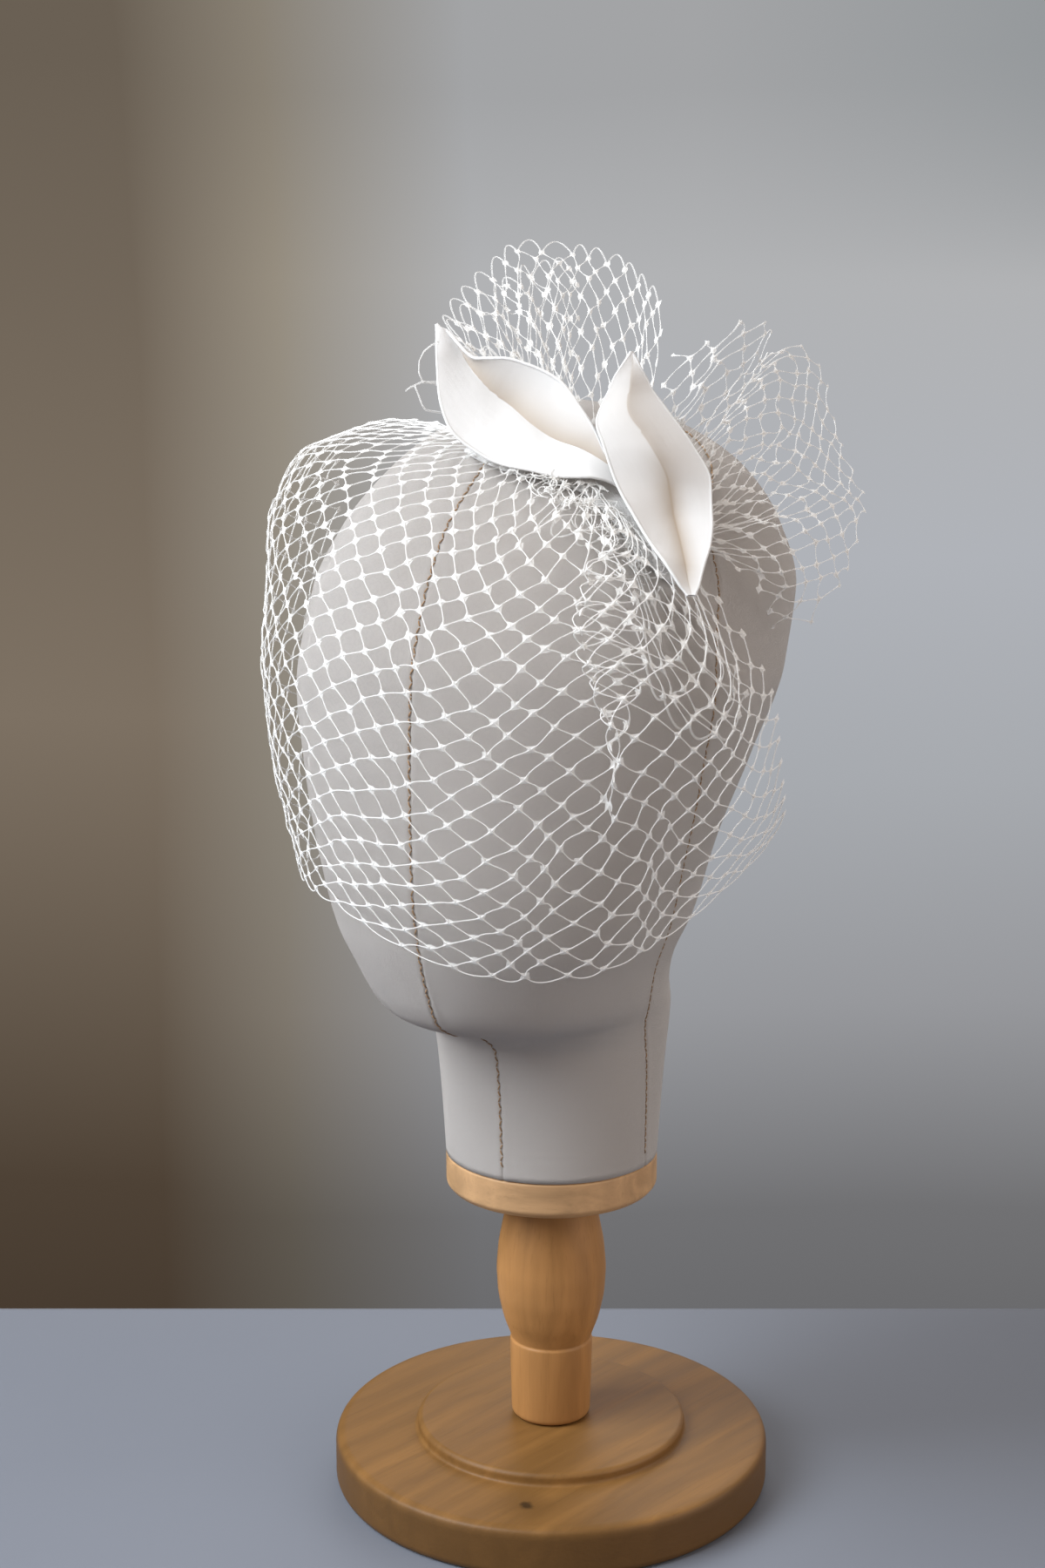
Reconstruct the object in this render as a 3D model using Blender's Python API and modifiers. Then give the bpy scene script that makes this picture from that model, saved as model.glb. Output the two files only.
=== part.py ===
"""A birdcage veil on a display head.

A strip of wide-meshed net is gathered on a flat sewing pad and hangs over the face of a linen-covered
display head. Two net ruffles and two folded satin leaves trim it. The head stands on a turned wooden
foot. Sizes in the tables are millimetres and degrees. The face looks along -Y, the wearer's left is +X,
and the origin is the middle of the foot's underside.
"""

import bpy
import numpy as np

MM = 0.001
COLLECTION = "birdcage_veil_on_display_head"

# Sizes that the other pieces follow, in millimetres.
SEAT_GAP = 0.3
BASE_RADIUS = 80.0
BASE_THICKNESS = 18.0
DAIS_RADIUS = 49.5
DAIS_THICKNESS = 4.5
PLATE_RADIUS = 38.4
PLATE_BOTTOM = 112.0
PLATE_TOP = 125.0
NET_WALL = 1.0
RUFFLE_WALL = 1.0
LEAF_WALL = 1.2
PAD_THICKNESS = 1.8
PAD_FRONT = 3.0

# The headpiece sits to the front left of the head, turned by this many degrees from the face.
HEADPIECE_TURN = 27.0

# Directions to the veil are taken from this point in the middle of the head.
HEAD_MIDDLE = np.array([0.0, -8.0, 296.0])

HEAD_COLUMNS = ("height", "half_width", "front", "back", "widest")
HEAD_SECTIONS = (
    (125.3, 38.4, -38.4, 38.4, 0.0),
    (150.0, 40.0, -40.0, 40.0, 0.0),
    (172.0, 42.0, -43.0, 42.0, 0.0),
    (182.0, 43.5, -56.0, 43.0, -3.0),
    (187.0, 45.0, -73.0, 43.0, -10.0),
    (193.0, 47.0, -83.5, 43.5, -20.0),
    (204.0, 51.0, -90.0, 45.0, -28.0),
    (220.0, 59.0, -95.8, 48.0, -30.0),
    (245.0, 66.0, -100.0, 56.0, -29.0),
    (275.0, 75.0, -100.8, 71.3, -20.0),
    (305.0, 82.0, -99.6, 84.8, -6.7),
    (330.0, 81.8, -91.7, 90.5, 5.8),
    (352.0, 74.0, -77.8, 86.8, 12.0),
    (370.0, 62.0, -55.0, 72.8, 14.0),
    (383.0, 46.0, -34.0, 51.0, 12.0),
    (391.0, 27.0, -14.0, 29.0, 9.0),
    (394.0, 6.0, 2.0, 14.0, 8.0),
)
HEAD_SIDES = 40

BASE_PROFILE = (
    (0.0, BASE_THICKNESS + DAIS_THICKNESS),
    (DAIS_RADIUS - 1.2, BASE_THICKNESS + DAIS_THICKNESS),
    (DAIS_RADIUS, BASE_THICKNESS + DAIS_THICKNESS - 1.2),
    (DAIS_RADIUS, BASE_THICKNESS),
    (BASE_RADIUS - 3.0, BASE_THICKNESS),
    (BASE_RADIUS - 0.7, BASE_THICKNESS - 0.9),
    (BASE_RADIUS, BASE_THICKNESS - 3.0),
    (BASE_RADIUS, 2.5),
    (BASE_RADIUS - 0.8, 0.8),
    (BASE_RADIUS - 2.5, 0.0),
    (0.0, 0.0),
)
POST_PROFILE = (
    (0.0, PLATE_BOTTOM - SEAT_GAP),
    (15.2, PLATE_BOTTOM - SEAT_GAP),
    (17.1, 101.0),
    (19.3, 90.0),
    (20.2, 80.0),
    (19.6, 70.0),
    (17.6, 61.0),
    (14.6, 53.0),
    (15.2, 52.2),
    (15.2, 49.0),
    (14.5, BASE_THICKNESS + DAIS_THICKNESS + SEAT_GAP),
    (0.0, BASE_THICKNESS + DAIS_THICKNESS + SEAT_GAP),
)
PLATE_PROFILE = (
    (0.0, PLATE_TOP),
    (PLATE_RADIUS - 0.6, PLATE_TOP),
    (PLATE_RADIUS, PLATE_TOP - 0.6),
    (PLATE_RADIUS, PLATE_BOTTOM + 2.2),
    (PLATE_RADIUS - 1.9, PLATE_BOTTOM),
    (0.0, PLATE_BOTTOM),
)
TURNED_STEPS = 40

# Each line of the veil runs from the pad (gather turn and rise) to the lower edge (edge turn and rise).
# A turn is from the face towards the wearer's left, a rise is above the level of the head's middle.
VEIL_COLUMNS = ("share", "gather_turn", "gather_rise", "edge_turn", "edge_rise")
VEIL_LINES = (
    (0.00, -35.0, 70.0, -125.0, -26.0),
    (0.09, -33.0, 70.0, -105.0, -36.0),
    (0.17, -29.0, 69.0, -87.0, -38.0),
    (0.25, -22.0, 68.0, -68.0, -38.0),
    (0.36, -4.0, 64.0, -43.0, -34.5),
    (0.47, 20.0, 58.0, -19.0, -33.0),
    (0.56, 31.0, 56.0, 2.0, -37.0),
    (0.64, 39.0, 53.0, 20.0, -41.0),
    (0.72, 44.0, 49.0, 38.0, -43.0),
    (0.80, 47.5, 44.0, 56.0, -41.0),
    (0.90, 52.0, 36.5, 78.0, -36.0),
    (0.96, 56.0, 31.5, 90.0, -31.5),
    (1.00, 61.0, 28.0, 97.0, -26.0),
)
# How far the net stands off the head: a row for each rise, a column for each turn.
STAND_TURNS = (-125.0, -67.0, -20.0, 20.0, 45.0, 70.0, 100.0)
STAND_ROWS = (
    # rise, stand at each turn
    (-42.0, 8.0, 8.0, 8.0, 11.0, 12.0, 14.0, 20.0),
    (-27.0, 8.0, 9.5, 8.0, 12.0, 12.0, 15.0, 20.0),
    (-16.0, 8.0, 11.5, 9.0, 12.5, 12.0, 14.0, 16.0),
    (-3.0, 8.0, 10.5, 11.0, 13.0, 13.0, 12.0, 12.0),
    (10.0, 10.0, 13.5, 12.0, 13.0, 13.0, 11.5, 12.0),
    (24.0, 15.0, 17.5, 12.5, 11.5, 9.0, 9.0, 12.0),
    (33.0, 20.0, 24.0, 13.0, 9.0, 7.0, 7.5, 11.0),
    (43.0, 22.0, 26.5, 12.0, 6.0, 5.0, 5.5, 9.0),
    (50.0, 19.0, 21.0, 10.0, 4.8, 4.2, 4.8, 8.0),
    (60.0, 10.0, 12.0, 6.0, 4.0, 4.0, 4.5, 5.0),
    (70.0, 5.0, 5.0, 4.0, 3.8, 3.8, 4.0, 4.0),
    (90.0, 4.0, 4.0, 4.0, 3.8, 3.8, 4.0, 4.0),
)
# The pad's own thickness, a gap and half the net's wall lie under the gathered edge.
GATHER_STAND = SEAT_GAP + PAD_THICKNESS + SEAT_GAP + NET_WALL / 2

VEIL_ROWS = (0.0, 0.03, 0.065, 0.11, 0.16, 0.21, 0.27, 0.34, 0.42, 0.50, 0.58, 0.66, 0.76, 0.88, 1.0)
VEIL_STEPS = 84
VEIL_GATHERS = 21
GATHER_DEPTH = 1.2
GATHER_ROOM = 0.35
# The fold's stretch of the strip takes a closer spacing of steps.
SPACING_COLUMNS = ("step_share", "strip_share")
SPACING = ((0.0, 0.0), (0.52, 0.60), (0.84, 0.82), (1.0, 1.0))

# The deep fold in front runs back over itself: its size shrinks to nothing at its lower tip.
FOLD_AT = 0.715
FOLD_SPAN = 0.10
FOLD_BEND = 0.3
FOLD_COLUMNS = ("fall", "size", "lift")
FOLD_SIZES = (
    (0.00, 0.0, 0.0),
    (0.06, 0.0, 0.5),
    (0.11, 0.008, 2.5),
    (0.17, 0.035, 4.8),
    (0.25, 0.11, 7.0),
    (0.38, 0.125, 9.0),
    (0.52, 0.07, 9.0),
    (0.66, 0.03, 4.5),
    (0.80, 0.0, 0.5),
    (1.00, 0.0, 0.0),
)

FRILL_LINES = (
    (0.00, 49.5, 40.0, 45.0, 14.0),
    (0.25, 51.5, 37.0, 50.0, 3.0),
    (0.50, 54.0, 34.0, 58.0, -4.0),
    (0.75, 56.5, 31.0, 68.0, -6.0),
    (1.00, 60.5, 28.5, 77.0, -2.0),
)
FRILL_STAND_COLUMNS = ("fall", "stand")
FRILL_STANDS = ((0.0, SEAT_GAP + RUFFLE_WALL / 2 + 0.2), (0.2, 2.4), (0.5, 4.8), (1.0, 6.0))
FRILL_START = 0.18
FRILL_STEPS = 24
FRILL_ROWS = 8
FRILL_WAVES = 5
FRILL_WAVE_DEPTH = 1.2

# How far the sewing pad reaches behind the line where the veil is gathered.
PAD_COLUMNS = ("share", "back")
PAD_BACKS = (
    (0.31, 10.0), (0.35, 20.0), (0.40, 23.5), (0.50, 25.0), (0.56, 27.0), (0.64, 31.0),
    (0.75, 28.0), (0.85, 25.0), (0.93, 20.0), (1.00, 15.0),
)
PAD_STEPS = 27
PAD_SIDE_STEPS = 5

# The two ruffles: the rim in the headpiece's turned frame (across, out towards the front, height), where
# the foot stands on the pad (share along the gather line, how far behind it), and how far a line arches.
RUFFLE_COLUMNS = ("share", "across", "out", "height", "along", "behind", "arch")
TOP_RUFFLE = (
    (0.00, 36.0, 20.0, 427.0, 0.67, 27.0, 10.0),
    (0.10, 31.0, 8.0, 434.0, 0.65, 28.0, 10.0),
    (0.22, 21.0, -5.0, 443.0, 0.60, 27.5, 11.0),
    (0.36, 5.0, -12.0, 447.0, 0.54, 23.5, 12.0),
    (0.48, -11.0, -10.0, 448.0, 0.465, 22.5, 12.0),
    (0.58, -22.0, -2.0, 440.0, 0.41, 22.5, 12.0),
    (0.68, -30.0, 10.0, 432.0, 0.37, 19.5, 11.0),
    (0.78, -37.0, 21.0, 421.0, 0.36, 15.0, 9.0),
    (0.88, -31.0, 32.0, 411.0, 0.385, 12.0, 5.0),
    (0.95, -17.0, 36.0, 411.0, 0.43, 11.5, 3.0),
    (1.00, -6.0, 37.0, 406.0, 0.475, 12.5, 2.0),
)
SIDE_RUFFLE = (
    (0.00, 38.0, 43.0, 408.0, 0.70, 20.0, 4.0),
    (0.07, 49.0, 48.0, 412.0, 0.72, 21.0, 6.0),
    (0.15, 62.0, 45.0, 419.0, 0.74, 21.5, 8.0),
    (0.22, 71.0, 33.0, 417.0, 0.76, 22.0, 8.0),
    (0.29, 71.0, 20.0, 409.0, 0.785, 22.0, 9.0),
    (0.34, 73.0, 9.0, 409.0, 0.805, 21.5, 9.5),
    (0.40, 82.0, -1.0, 413.0, 0.83, 21.0, 10.0),
    (0.49, 95.0, -15.0, 402.0, 0.865, 19.5, 11.0),
    (0.57, 100.0, -24.0, 387.0, 0.895, 18.0, 13.0),
    (0.65, 103.0, -12.0, 374.0, 0.92, 16.5, 14.0),
    (0.73, 107.0, 5.0, 361.0, 0.94, 15.0, 14.0),
    (0.81, 103.0, 22.0, 350.0, 0.955, 13.5, 14.0),
    (0.89, 94.0, 36.0, 332.0, 0.968, 12.0, 15.0),
    (0.96, 81.0, 42.0, 320.0, 0.98, 10.5, 17.0),
    (1.00, 72.0, 44.0, 320.0, 0.99, 9.0, 19.0),
)
RUFFLE_FOOT_STAND = SEAT_GAP + PAD_THICKNESS + 0.9
RUFFLE_ROWS = 7

# Satin leaves: the crease and both edges from the sewn end to the tip, in the turned frame.
LEAF_COLUMNS = (
    "crease_across", "crease_out", "crease_height",
    "upper_across", "upper_out", "upper_height",
    "lower_across", "lower_out", "lower_height",
)
LEAF_LEFT = (
    (22, 58.8, 368, 19.5, 60, 374.5, 22, 64.4, 364.7),
    (17, 60, 373, 16, 60.5, 377, 18, 65, 368),
    (9, 57, 378, 12.5, 60, 384, 10, 66, 370),
    (1, 53, 381, 8, 58, 391, 2, 65, 370),
    (-7, 49, 386, 1, 54, 400, -8, 63, 372),
    (-15, 45, 392, -9, 50, 405, -18, 59, 374),
    (-23, 43, 397, -17, 48, 407, -26, 55, 378),
    (-29, 42, 403, -25, 47, 407, -34, 52, 385),
    (-33, 44, 410, -31.5, 47, 412, -38, 49, 396),
    (-38, 46.5, 418, -36.5, 47.5, 420.5, -40.5, 48, 415.5),
)
LEAF_RIGHT = (
    (24, 52, 409, 21, 53, 409, 27, 53, 409),
    (26, 50.5, 399, 18, 55, 399, 29.5, 54, 399),
    (29, 51, 389, 13, 61.5, 387, 35, 56, 391),
    (31, 54, 379, 15, 65.5, 380, 43, 59, 380),
    (33, 59, 368, 19, 70.5, 368, 49, 62.5, 368),
    (35, 67, 358.7, 24, 76.5, 358.7, 49, 69, 357.5),
    (37, 76, 351.2, 29, 83, 350.3, 48, 77.5, 350.2),
    (39, 86, 343.3, 34, 91, 343.2, 45, 88, 342.2),
    (41, 93.5, 335, 38.5, 94.5, 335, 43.5, 94.5, 335),
)
LEAF_LENGTH_STEPS = 18
LEAF_SIDE_STEPS = 3
LEAF_PUFF = 1.6


def named(columns, rows):
    """Puts a short table's columns under their names."""
    return dict(zip(columns, np.array(rows, float).T))


def smooth(knots, values, places):
    """A curve through the values that never swings past them: one cubic for each span, with the slope at
    a knot the weighted harmonic mean of the slopes beside it, or none where they differ in sign."""
    knots = np.asarray(knots, float)
    values = np.asarray(values, float)
    places = np.clip(np.asarray(places, float), knots[0], knots[-1])
    if values.ndim == 1:
        values = values[:, None] + np.zeros(places.size)
    span = np.diff(knots)[:, None]
    rise = np.diff(values, axis=0) / span
    before, after = rise[:-1], rise[1:]
    near, far = 2 * span[1:] + span[:-1], span[1:] + 2 * span[:-1]
    same = before * after > 0
    safe_before = np.where(same, before, 1.0)
    safe_after = np.where(same, after, 1.0)
    inner = np.where(same, (near + far) / (near / safe_before + far / safe_after), 0.0)
    slope = np.concatenate([rise[:1], inner, rise[-1:]])
    flat = places.ravel()
    at = np.clip(np.searchsorted(knots, flat, side="right") - 1, 0, len(knots) - 2)
    pick = np.arange(flat.size)
    width = knots[at + 1] - knots[at]
    u = (flat - knots[at]) / width
    start, end = values[at, pick], values[at + 1, pick]
    lean_out, lean_in = slope[at, pick] * width, slope[at + 1, pick] * width
    curve = (
        start * (2 * u**3 - 3 * u**2 + 1)
        + lean_out * (u**3 - 2 * u**2 + u)
        + end * (3 * u**2 - 2 * u**3)
        + lean_in * (u**3 - u**2)
    )
    return curve.reshape(places.shape)


HEAD = named(HEAD_COLUMNS, HEAD_SECTIONS)


def head_sections(heights):
    """The head's half width, front, back and widest line at some heights."""
    return [smooth(HEAD["height"], HEAD[name], heights) for name in HEAD_COLUMNS[1:]]


def in_head(points):
    """Whether points lie inside the head: a section is two half ellipses that meet at its widest line."""
    half_width, front, back, widest = head_sections(points[..., 2])
    behind = points[..., 1] > widest
    depth = np.where(behind, back - widest, widest - front)
    ratio = (points[..., 0] / half_width) ** 2 + ((points[..., 1] - widest) / depth) ** 2
    return (ratio < 1.0) & (points[..., 2] < HEAD["height"][-1])


def head_reach(directions):
    """The distance from the head's middle to its surface along each direction, by halving."""
    low = np.full(directions.shape[:-1], 20.0)
    high = np.full(directions.shape[:-1], 170.0)
    for _ in range(36):
        middle = (low + high) / 2
        inside = in_head(HEAD_MIDDLE + directions * middle[..., None])
        low = np.where(inside, middle, low)
        high = np.where(inside, high, middle)
    return low


def aim(turn, rise):
    """The unit direction with a turn from the face and a rise above level, in degrees."""
    turn, rise = np.radians(turn), np.radians(rise)
    return np.stack([np.cos(rise) * np.sin(turn), -np.cos(rise) * np.cos(turn), np.sin(rise)], -1)


def sweep(start, end, share):
    """A direction on the great circle from one direction to another."""
    angle = np.arccos(np.clip((start * end).sum(-1), -1.0, 1.0))[..., None]
    share = np.asarray(share)[..., None]
    return (np.sin((1 - share) * angle) * start + np.sin(share * angle) * end) / np.sin(angle)


def ends_of(lines, share):
    """The directions of a net line's gathered end and of its lower end."""
    table = named(VEIL_COLUMNS, lines)
    turn, rise, edge_turn, edge_rise = [smooth(table["share"], table[n], share) for n in VEIL_COLUMNS[1:]]
    return aim(turn, rise), aim(edge_turn, edge_rise)


def stand_off(directions):
    """How far the net stands off the head in each direction, from the table of turns and rises."""
    turn = np.degrees(np.arctan2(directions[..., 0], -directions[..., 1]))
    rise = np.degrees(np.arcsin(np.clip(directions[..., 2], -1.0, 1.0)))
    rows = np.array(STAND_ROWS)
    by_turn = np.stack([smooth(rows[:, 0], rows[:, k], rise.ravel()) for k in range(1, rows.shape[1])])
    return smooth(STAND_TURNS, by_turn, turn.ravel()).reshape(turn.shape)


def ease(x):
    """Rises softly from 0 to 1 as x does."""
    x = np.clip(x, 0.0, 1.0)
    return x * x * (3 - 2 * x)


def veil_surface(step_share, fall):
    """The veil's middle surface. Each line goes on a great circle from the band to the lower edge, as far
    off the head as the table says, with small waves that die out below the gathers. At the fold the lines
    run on, back and on again by a sine under a bell, and each bend takes the net further out."""
    spacing = named(SPACING_COLUMNS, SPACING)
    strip = smooth(spacing["step_share"], spacing["strip_share"], step_share)
    sizes = named(FOLD_COLUMNS, FOLD_SIZES)
    size, lift = [smooth(sizes["fall"], sizes[name], fall) for name in ("size", "lift")]
    place = (strip - FOLD_AT) / FOLD_SPAN
    inside = np.clip(place, -1.0, 1.0)
    shift = -size * (np.sin(np.pi * inside) + 0.15) * np.cos(np.pi * inside / 2) ** 2
    gathered, edge = ends_of(VEIL_LINES, strip + shift)
    directions = sweep(gathered, edge, fall)
    stand = stand_off(directions)
    near_band = 1 - ease(fall / 0.06)
    stand = stand + near_band * (GATHER_STAND - stand)
    apart = np.linalg.norm(ends_of(VEIL_LINES, strip + 0.5 / VEIL_GATHERS)[0] - gathered, axis=-1)
    depth = np.minimum(GATHER_DEPTH, GATHER_ROOM * apart) * ease(strip / 0.12) * ease((1 - strip) / 0.12)
    calm = 1 - 0.8 * np.exp(-(place**2)) * ease(size / 0.05)
    wave = depth * calm * (fall / 0.09) * np.exp(1 - fall / 0.09)
    stand = stand + wave * np.cos(2 * np.pi * VEIL_GATHERS * step_share)
    bend = FOLD_BEND * ease(size / 0.09)
    bends = ease((place + bend) / 0.4 + 0.5) + ease((place - bend) / 0.4 + 0.5)
    layer = bends / 2 * (1 - ease((place - 1) / 1.6))
    stand = stand + lift * layer
    return HEAD_MIDDLE + directions * (head_reach(directions) + stand)[..., None]


def frill_surface(share, fall):
    """The short second layer between the veil and the head, with a few waves that grow to its edge. It
    starts a little below the gathers, clear of the pad's front edge."""
    gathered, edge = ends_of(FRILL_LINES, share)
    directions = sweep(gathered, edge, FRILL_START + (1 - FRILL_START) * fall)
    stands = named(FRILL_STAND_COLUMNS, FRILL_STANDS)
    stand = smooth(stands["fall"], stands["stand"], fall)
    stand = stand + FRILL_WAVE_DEPTH * fall * np.sin(2 * np.pi * FRILL_WAVES * share)
    return HEAD_MIDDLE + directions * (head_reach(directions) + stand)[..., None]


def turned(across, out, height):
    """Places points of the headpiece's turned frame in the part's own."""
    angle = np.radians(HEADPIECE_TURN)
    x = across * np.cos(angle) + out * np.sin(angle)
    y = across * np.sin(angle) - out * np.cos(angle)
    return np.stack([x, y, np.broadcast_to(height, np.shape(x))], -1)


def gather_frame(share):
    """The direction to the gather line, and the one square to that line towards the back of the head."""
    along, _ = ends_of(VEIL_LINES, share)
    ahead, _ = ends_of(VEIL_LINES, np.clip(share + 0.004, 0.0, 1.0))
    back, _ = ends_of(VEIL_LINES, np.clip(share - 0.004, 0.0, 1.0))
    behind = np.cross(along, ahead - back)
    behind /= np.linalg.norm(behind, axis=-1, keepdims=True)
    return along, behind


def on_pad(share, behind_by, stand):
    """A point by its place along the gather line, how far it lies behind it and how far off the head."""
    along, behind = gather_frame(share)
    directions = along + behind * (np.asarray(behind_by) / 88.0)[..., None]
    directions /= np.linalg.norm(directions, axis=-1, keepdims=True)
    return HEAD_MIDDLE + directions * (head_reach(directions) + stand)[..., None]


def ruffle_surface(rows, waves, depth, share, rise):
    """A gathered ruffle: each line is a quadratic curve from its foot on the pad, over a middle point
    that is pushed off the head, to the rim. Small waves across the lines fade out at both ends."""
    table = named(RUFFLE_COLUMNS, rows)
    read = {name: smooth(table["share"], table[name], share) for name in RUFFLE_COLUMNS[1:]}
    rim = turned(read["across"], read["out"], read["height"])
    foot = on_pad(read["along"], read["behind"], RUFFLE_FOOT_STAND)
    off_head = foot - HEAD_MIDDLE
    off_head /= np.linalg.norm(off_head, axis=-1, keepdims=True)
    middle = (foot + rim) / 2 + off_head * read["arch"][..., None]
    wave = depth * np.sin(2 * np.pi * waves * share) * np.sin(np.pi * rise) ** 2
    rise = rise[..., None]
    line = (1 - rise) ** 2 * foot + 2 * rise * (1 - rise) * middle + rise**2 * rim
    side = np.cross(np.gradient(rim, axis=0), rim - foot)
    side /= np.maximum(np.linalg.norm(side, axis=-1, keepdims=True), 1e-9)
    return line + side * wave[..., None]


def leaf_surface(rows):
    """A folded leaf: from the crease each half runs straight to its edge, plus a soft swell between."""
    table = named(LEAF_COLUMNS, rows)
    stations = np.linspace(0.0, 1.0, len(rows))
    share = np.linspace(0.0, 1.0, LEAF_LENGTH_STEPS + 1)
    read = {name: smooth(stations, table[name], share) for name in LEAF_COLUMNS}
    lines = {}
    for part in ("crease", "upper", "lower"):
        lines[part] = turned(read[part + "_across"], read[part + "_out"], read[part + "_height"])
    run = np.gradient(lines["crease"], axis=0)
    columns = []
    halves = (("upper", range(LEAF_SIDE_STEPS, 0, -1), 1), ("lower", range(0, LEAF_SIDE_STEPS + 1), -1))
    for part, order, sense in halves:
        span = lines[part] - lines["crease"]
        facing = sense * np.cross(span, run)
        facing /= np.maximum(np.linalg.norm(facing, axis=-1, keepdims=True), 1e-9)
        width = np.linalg.norm(span, axis=-1, keepdims=True)
        for step in order:
            w = step / LEAF_SIDE_STEPS
            swell = LEAF_PUFF * 4 * w * (1 - w) * np.minimum(width / 14.0, 1.0)
            columns.append(lines["crease"] + span * w + facing * swell)
    return np.stack(columns, 1)


def clear_scene():
    for thing in list(bpy.data.objects):
        bpy.data.objects.remove(thing, do_unlink=True)


def collection():
    found = bpy.data.collections.new(COLLECTION)
    bpy.context.scene.collection.children.link(found)
    return found


def material(name, colour, roughness, sheen=0.0):
    made = bpy.data.materials.new(name)
    made.use_nodes = True
    shader = made.node_tree.nodes["Principled BSDF"]
    shader.inputs["Base Color"].default_value = (*colour, 1.0)
    shader.inputs["Roughness"].default_value = roughness
    shader.inputs["Metallic"].default_value = 0.0
    shader.inputs["Sheen Weight"].default_value = sheen
    return made


def add_object(group, name, mesh, finish):
    made = bpy.data.objects.new(name, mesh)
    group.objects.link(made)
    mesh.materials.append(finish)
    return made


def add_turned(group, name, profile, finish):
    """A turned piece: its outline, top to bottom, is spun about the upright axis."""
    mesh = bpy.data.meshes.new(name)
    points = [(radius * MM, 0.0, height * MM) for radius, height in profile]
    mesh.from_pydata(points, [(k, k + 1) for k in range(len(points) - 1)], [])
    made = add_object(group, name, mesh, finish)
    screw = made.modifiers.new("spin", "SCREW")
    screw.axis = "Z"
    screw.steps = TURNED_STEPS
    screw.render_steps = TURNED_STEPS
    screw.use_merge_vertices = True
    screw.merge_threshold = 0.00005
    screw.use_smooth_shade = False
    return made


def grid_faces(rows, columns, closed):
    """Four-sided faces over a grid of points, joined round along its columns where it is closed."""
    last = columns if closed else columns - 1
    faces = []
    for row in range(rows - 1):
        for column in range(last):
            after = (column + 1) % columns
            faces.append(
                (
                    row * columns + column,
                    row * columns + after,
                    (row + 1) * columns + after,
                    (row + 1) * columns + column,
                )
            )
    return faces


def add_sheet(group, name, points, thickness, finish):
    """A cloth wall: an open surface through a grid of points, given its thickness by Solidify."""
    rows, columns = points.shape[:2]
    mesh = bpy.data.meshes.new(name)
    mesh.from_pydata((points.reshape(-1, 3) * MM).tolist(), [], grid_faces(rows, columns, False))
    made = add_object(group, name, mesh, finish)
    wall = made.modifiers.new("wall", "SOLIDIFY")
    wall.thickness = thickness * MM
    wall.offset = 0.0
    return made


def add_loft(group, name, points, finish):
    """A closed body through rings of points, with flat ends."""
    rows, columns = points.shape[:2]
    faces = grid_faces(rows, columns, True)
    faces.append(tuple(reversed(range(columns))))
    faces.append(tuple(range((rows - 1) * columns, rows * columns)))
    mesh = bpy.data.meshes.new(name)
    mesh.from_pydata((points.reshape(-1, 3) * MM).tolist(), [], faces)
    return add_object(group, name, mesh, finish)


def make_head(group, finish):
    """The head lofted through its sections, closest together under the chin and over the crown."""
    heights = np.concatenate(
        [
            HEAD["height"][:1],
            np.linspace(150.0, 172.0, 2),
            HEAD["height"][3:7],
            np.linspace(220.0, 352.0, 9),
            [362.0, 370.0, 377.0, 383.0, 387.5, 391.0, 394.0],
        ]
    )
    half_width, front, back, widest = [a[:, None] for a in head_sections(heights)]
    turn = np.linspace(0.0, 2 * np.pi, HEAD_SIDES, endpoint=False)[None]
    depth = np.where(np.sin(turn) > 0, back - widest, widest - front)
    x = half_width * np.cos(turn)
    y = widest + depth * np.sin(turn)
    z = np.broadcast_to(heights[:, None], x.shape)
    return add_loft(group, "display_head", np.stack([x, y, z], -1), finish)


def make_pad(group, finish):
    """The covered pad that everything is sewn to: a thin crescent along the head, from just in front of
    the gathers to behind the ruffles' feet, with its top edges eased."""
    backs = named(PAD_COLUMNS, PAD_BACKS)
    share = np.linspace(PAD_BACKS[0][0], 0.99, PAD_STEPS)
    back = smooth(backs["share"], backs["back"], share)
    places = np.linspace(0.0, 1.0, PAD_SIDE_STEPS + 1)
    outline = [(place, 0.0, 0.0) for place in places[::-1]]
    outline += [(place, PAD_THICKNESS, 0.8 * (place < 0.01) - 0.8 * (place > 0.99)) for place in places]
    rings = []
    for place, lift, inset in outline:
        behind_by = -PAD_FRONT + (back + PAD_FRONT) * place + inset
        rings.append(on_pad(share, behind_by, SEAT_GAP + lift))
    return add_loft(group, "headpiece_base", np.stack(rings[::-1], 1), finish)


def make_veil(group, finish):
    step_share, fall = np.meshgrid(
        np.linspace(0.0, 1.0, VEIL_STEPS + 1), np.array(VEIL_ROWS), indexing="ij"
    )
    return add_sheet(group, "veil_net", veil_surface(step_share, fall), NET_WALL, finish)


def make_frill(group, finish):
    share, fall = np.meshgrid(
        np.linspace(0.0, 1.0, FRILL_STEPS + 1), np.linspace(0.0, 1.0, FRILL_ROWS + 1), indexing="ij"
    )
    return add_sheet(group, "veil_frill", frill_surface(share, fall), RUFFLE_WALL, finish)


def make_ruffle(group, name, rows, waves, depth, steps, finish):
    share, rise = np.meshgrid(
        np.linspace(0.0, 1.0, steps + 1), np.linspace(0.0, 1.0, RUFFLE_ROWS + 1), indexing="ij"
    )
    return add_sheet(group, name, ruffle_surface(rows, waves, depth, share, rise), RUFFLE_WALL, finish)


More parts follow.
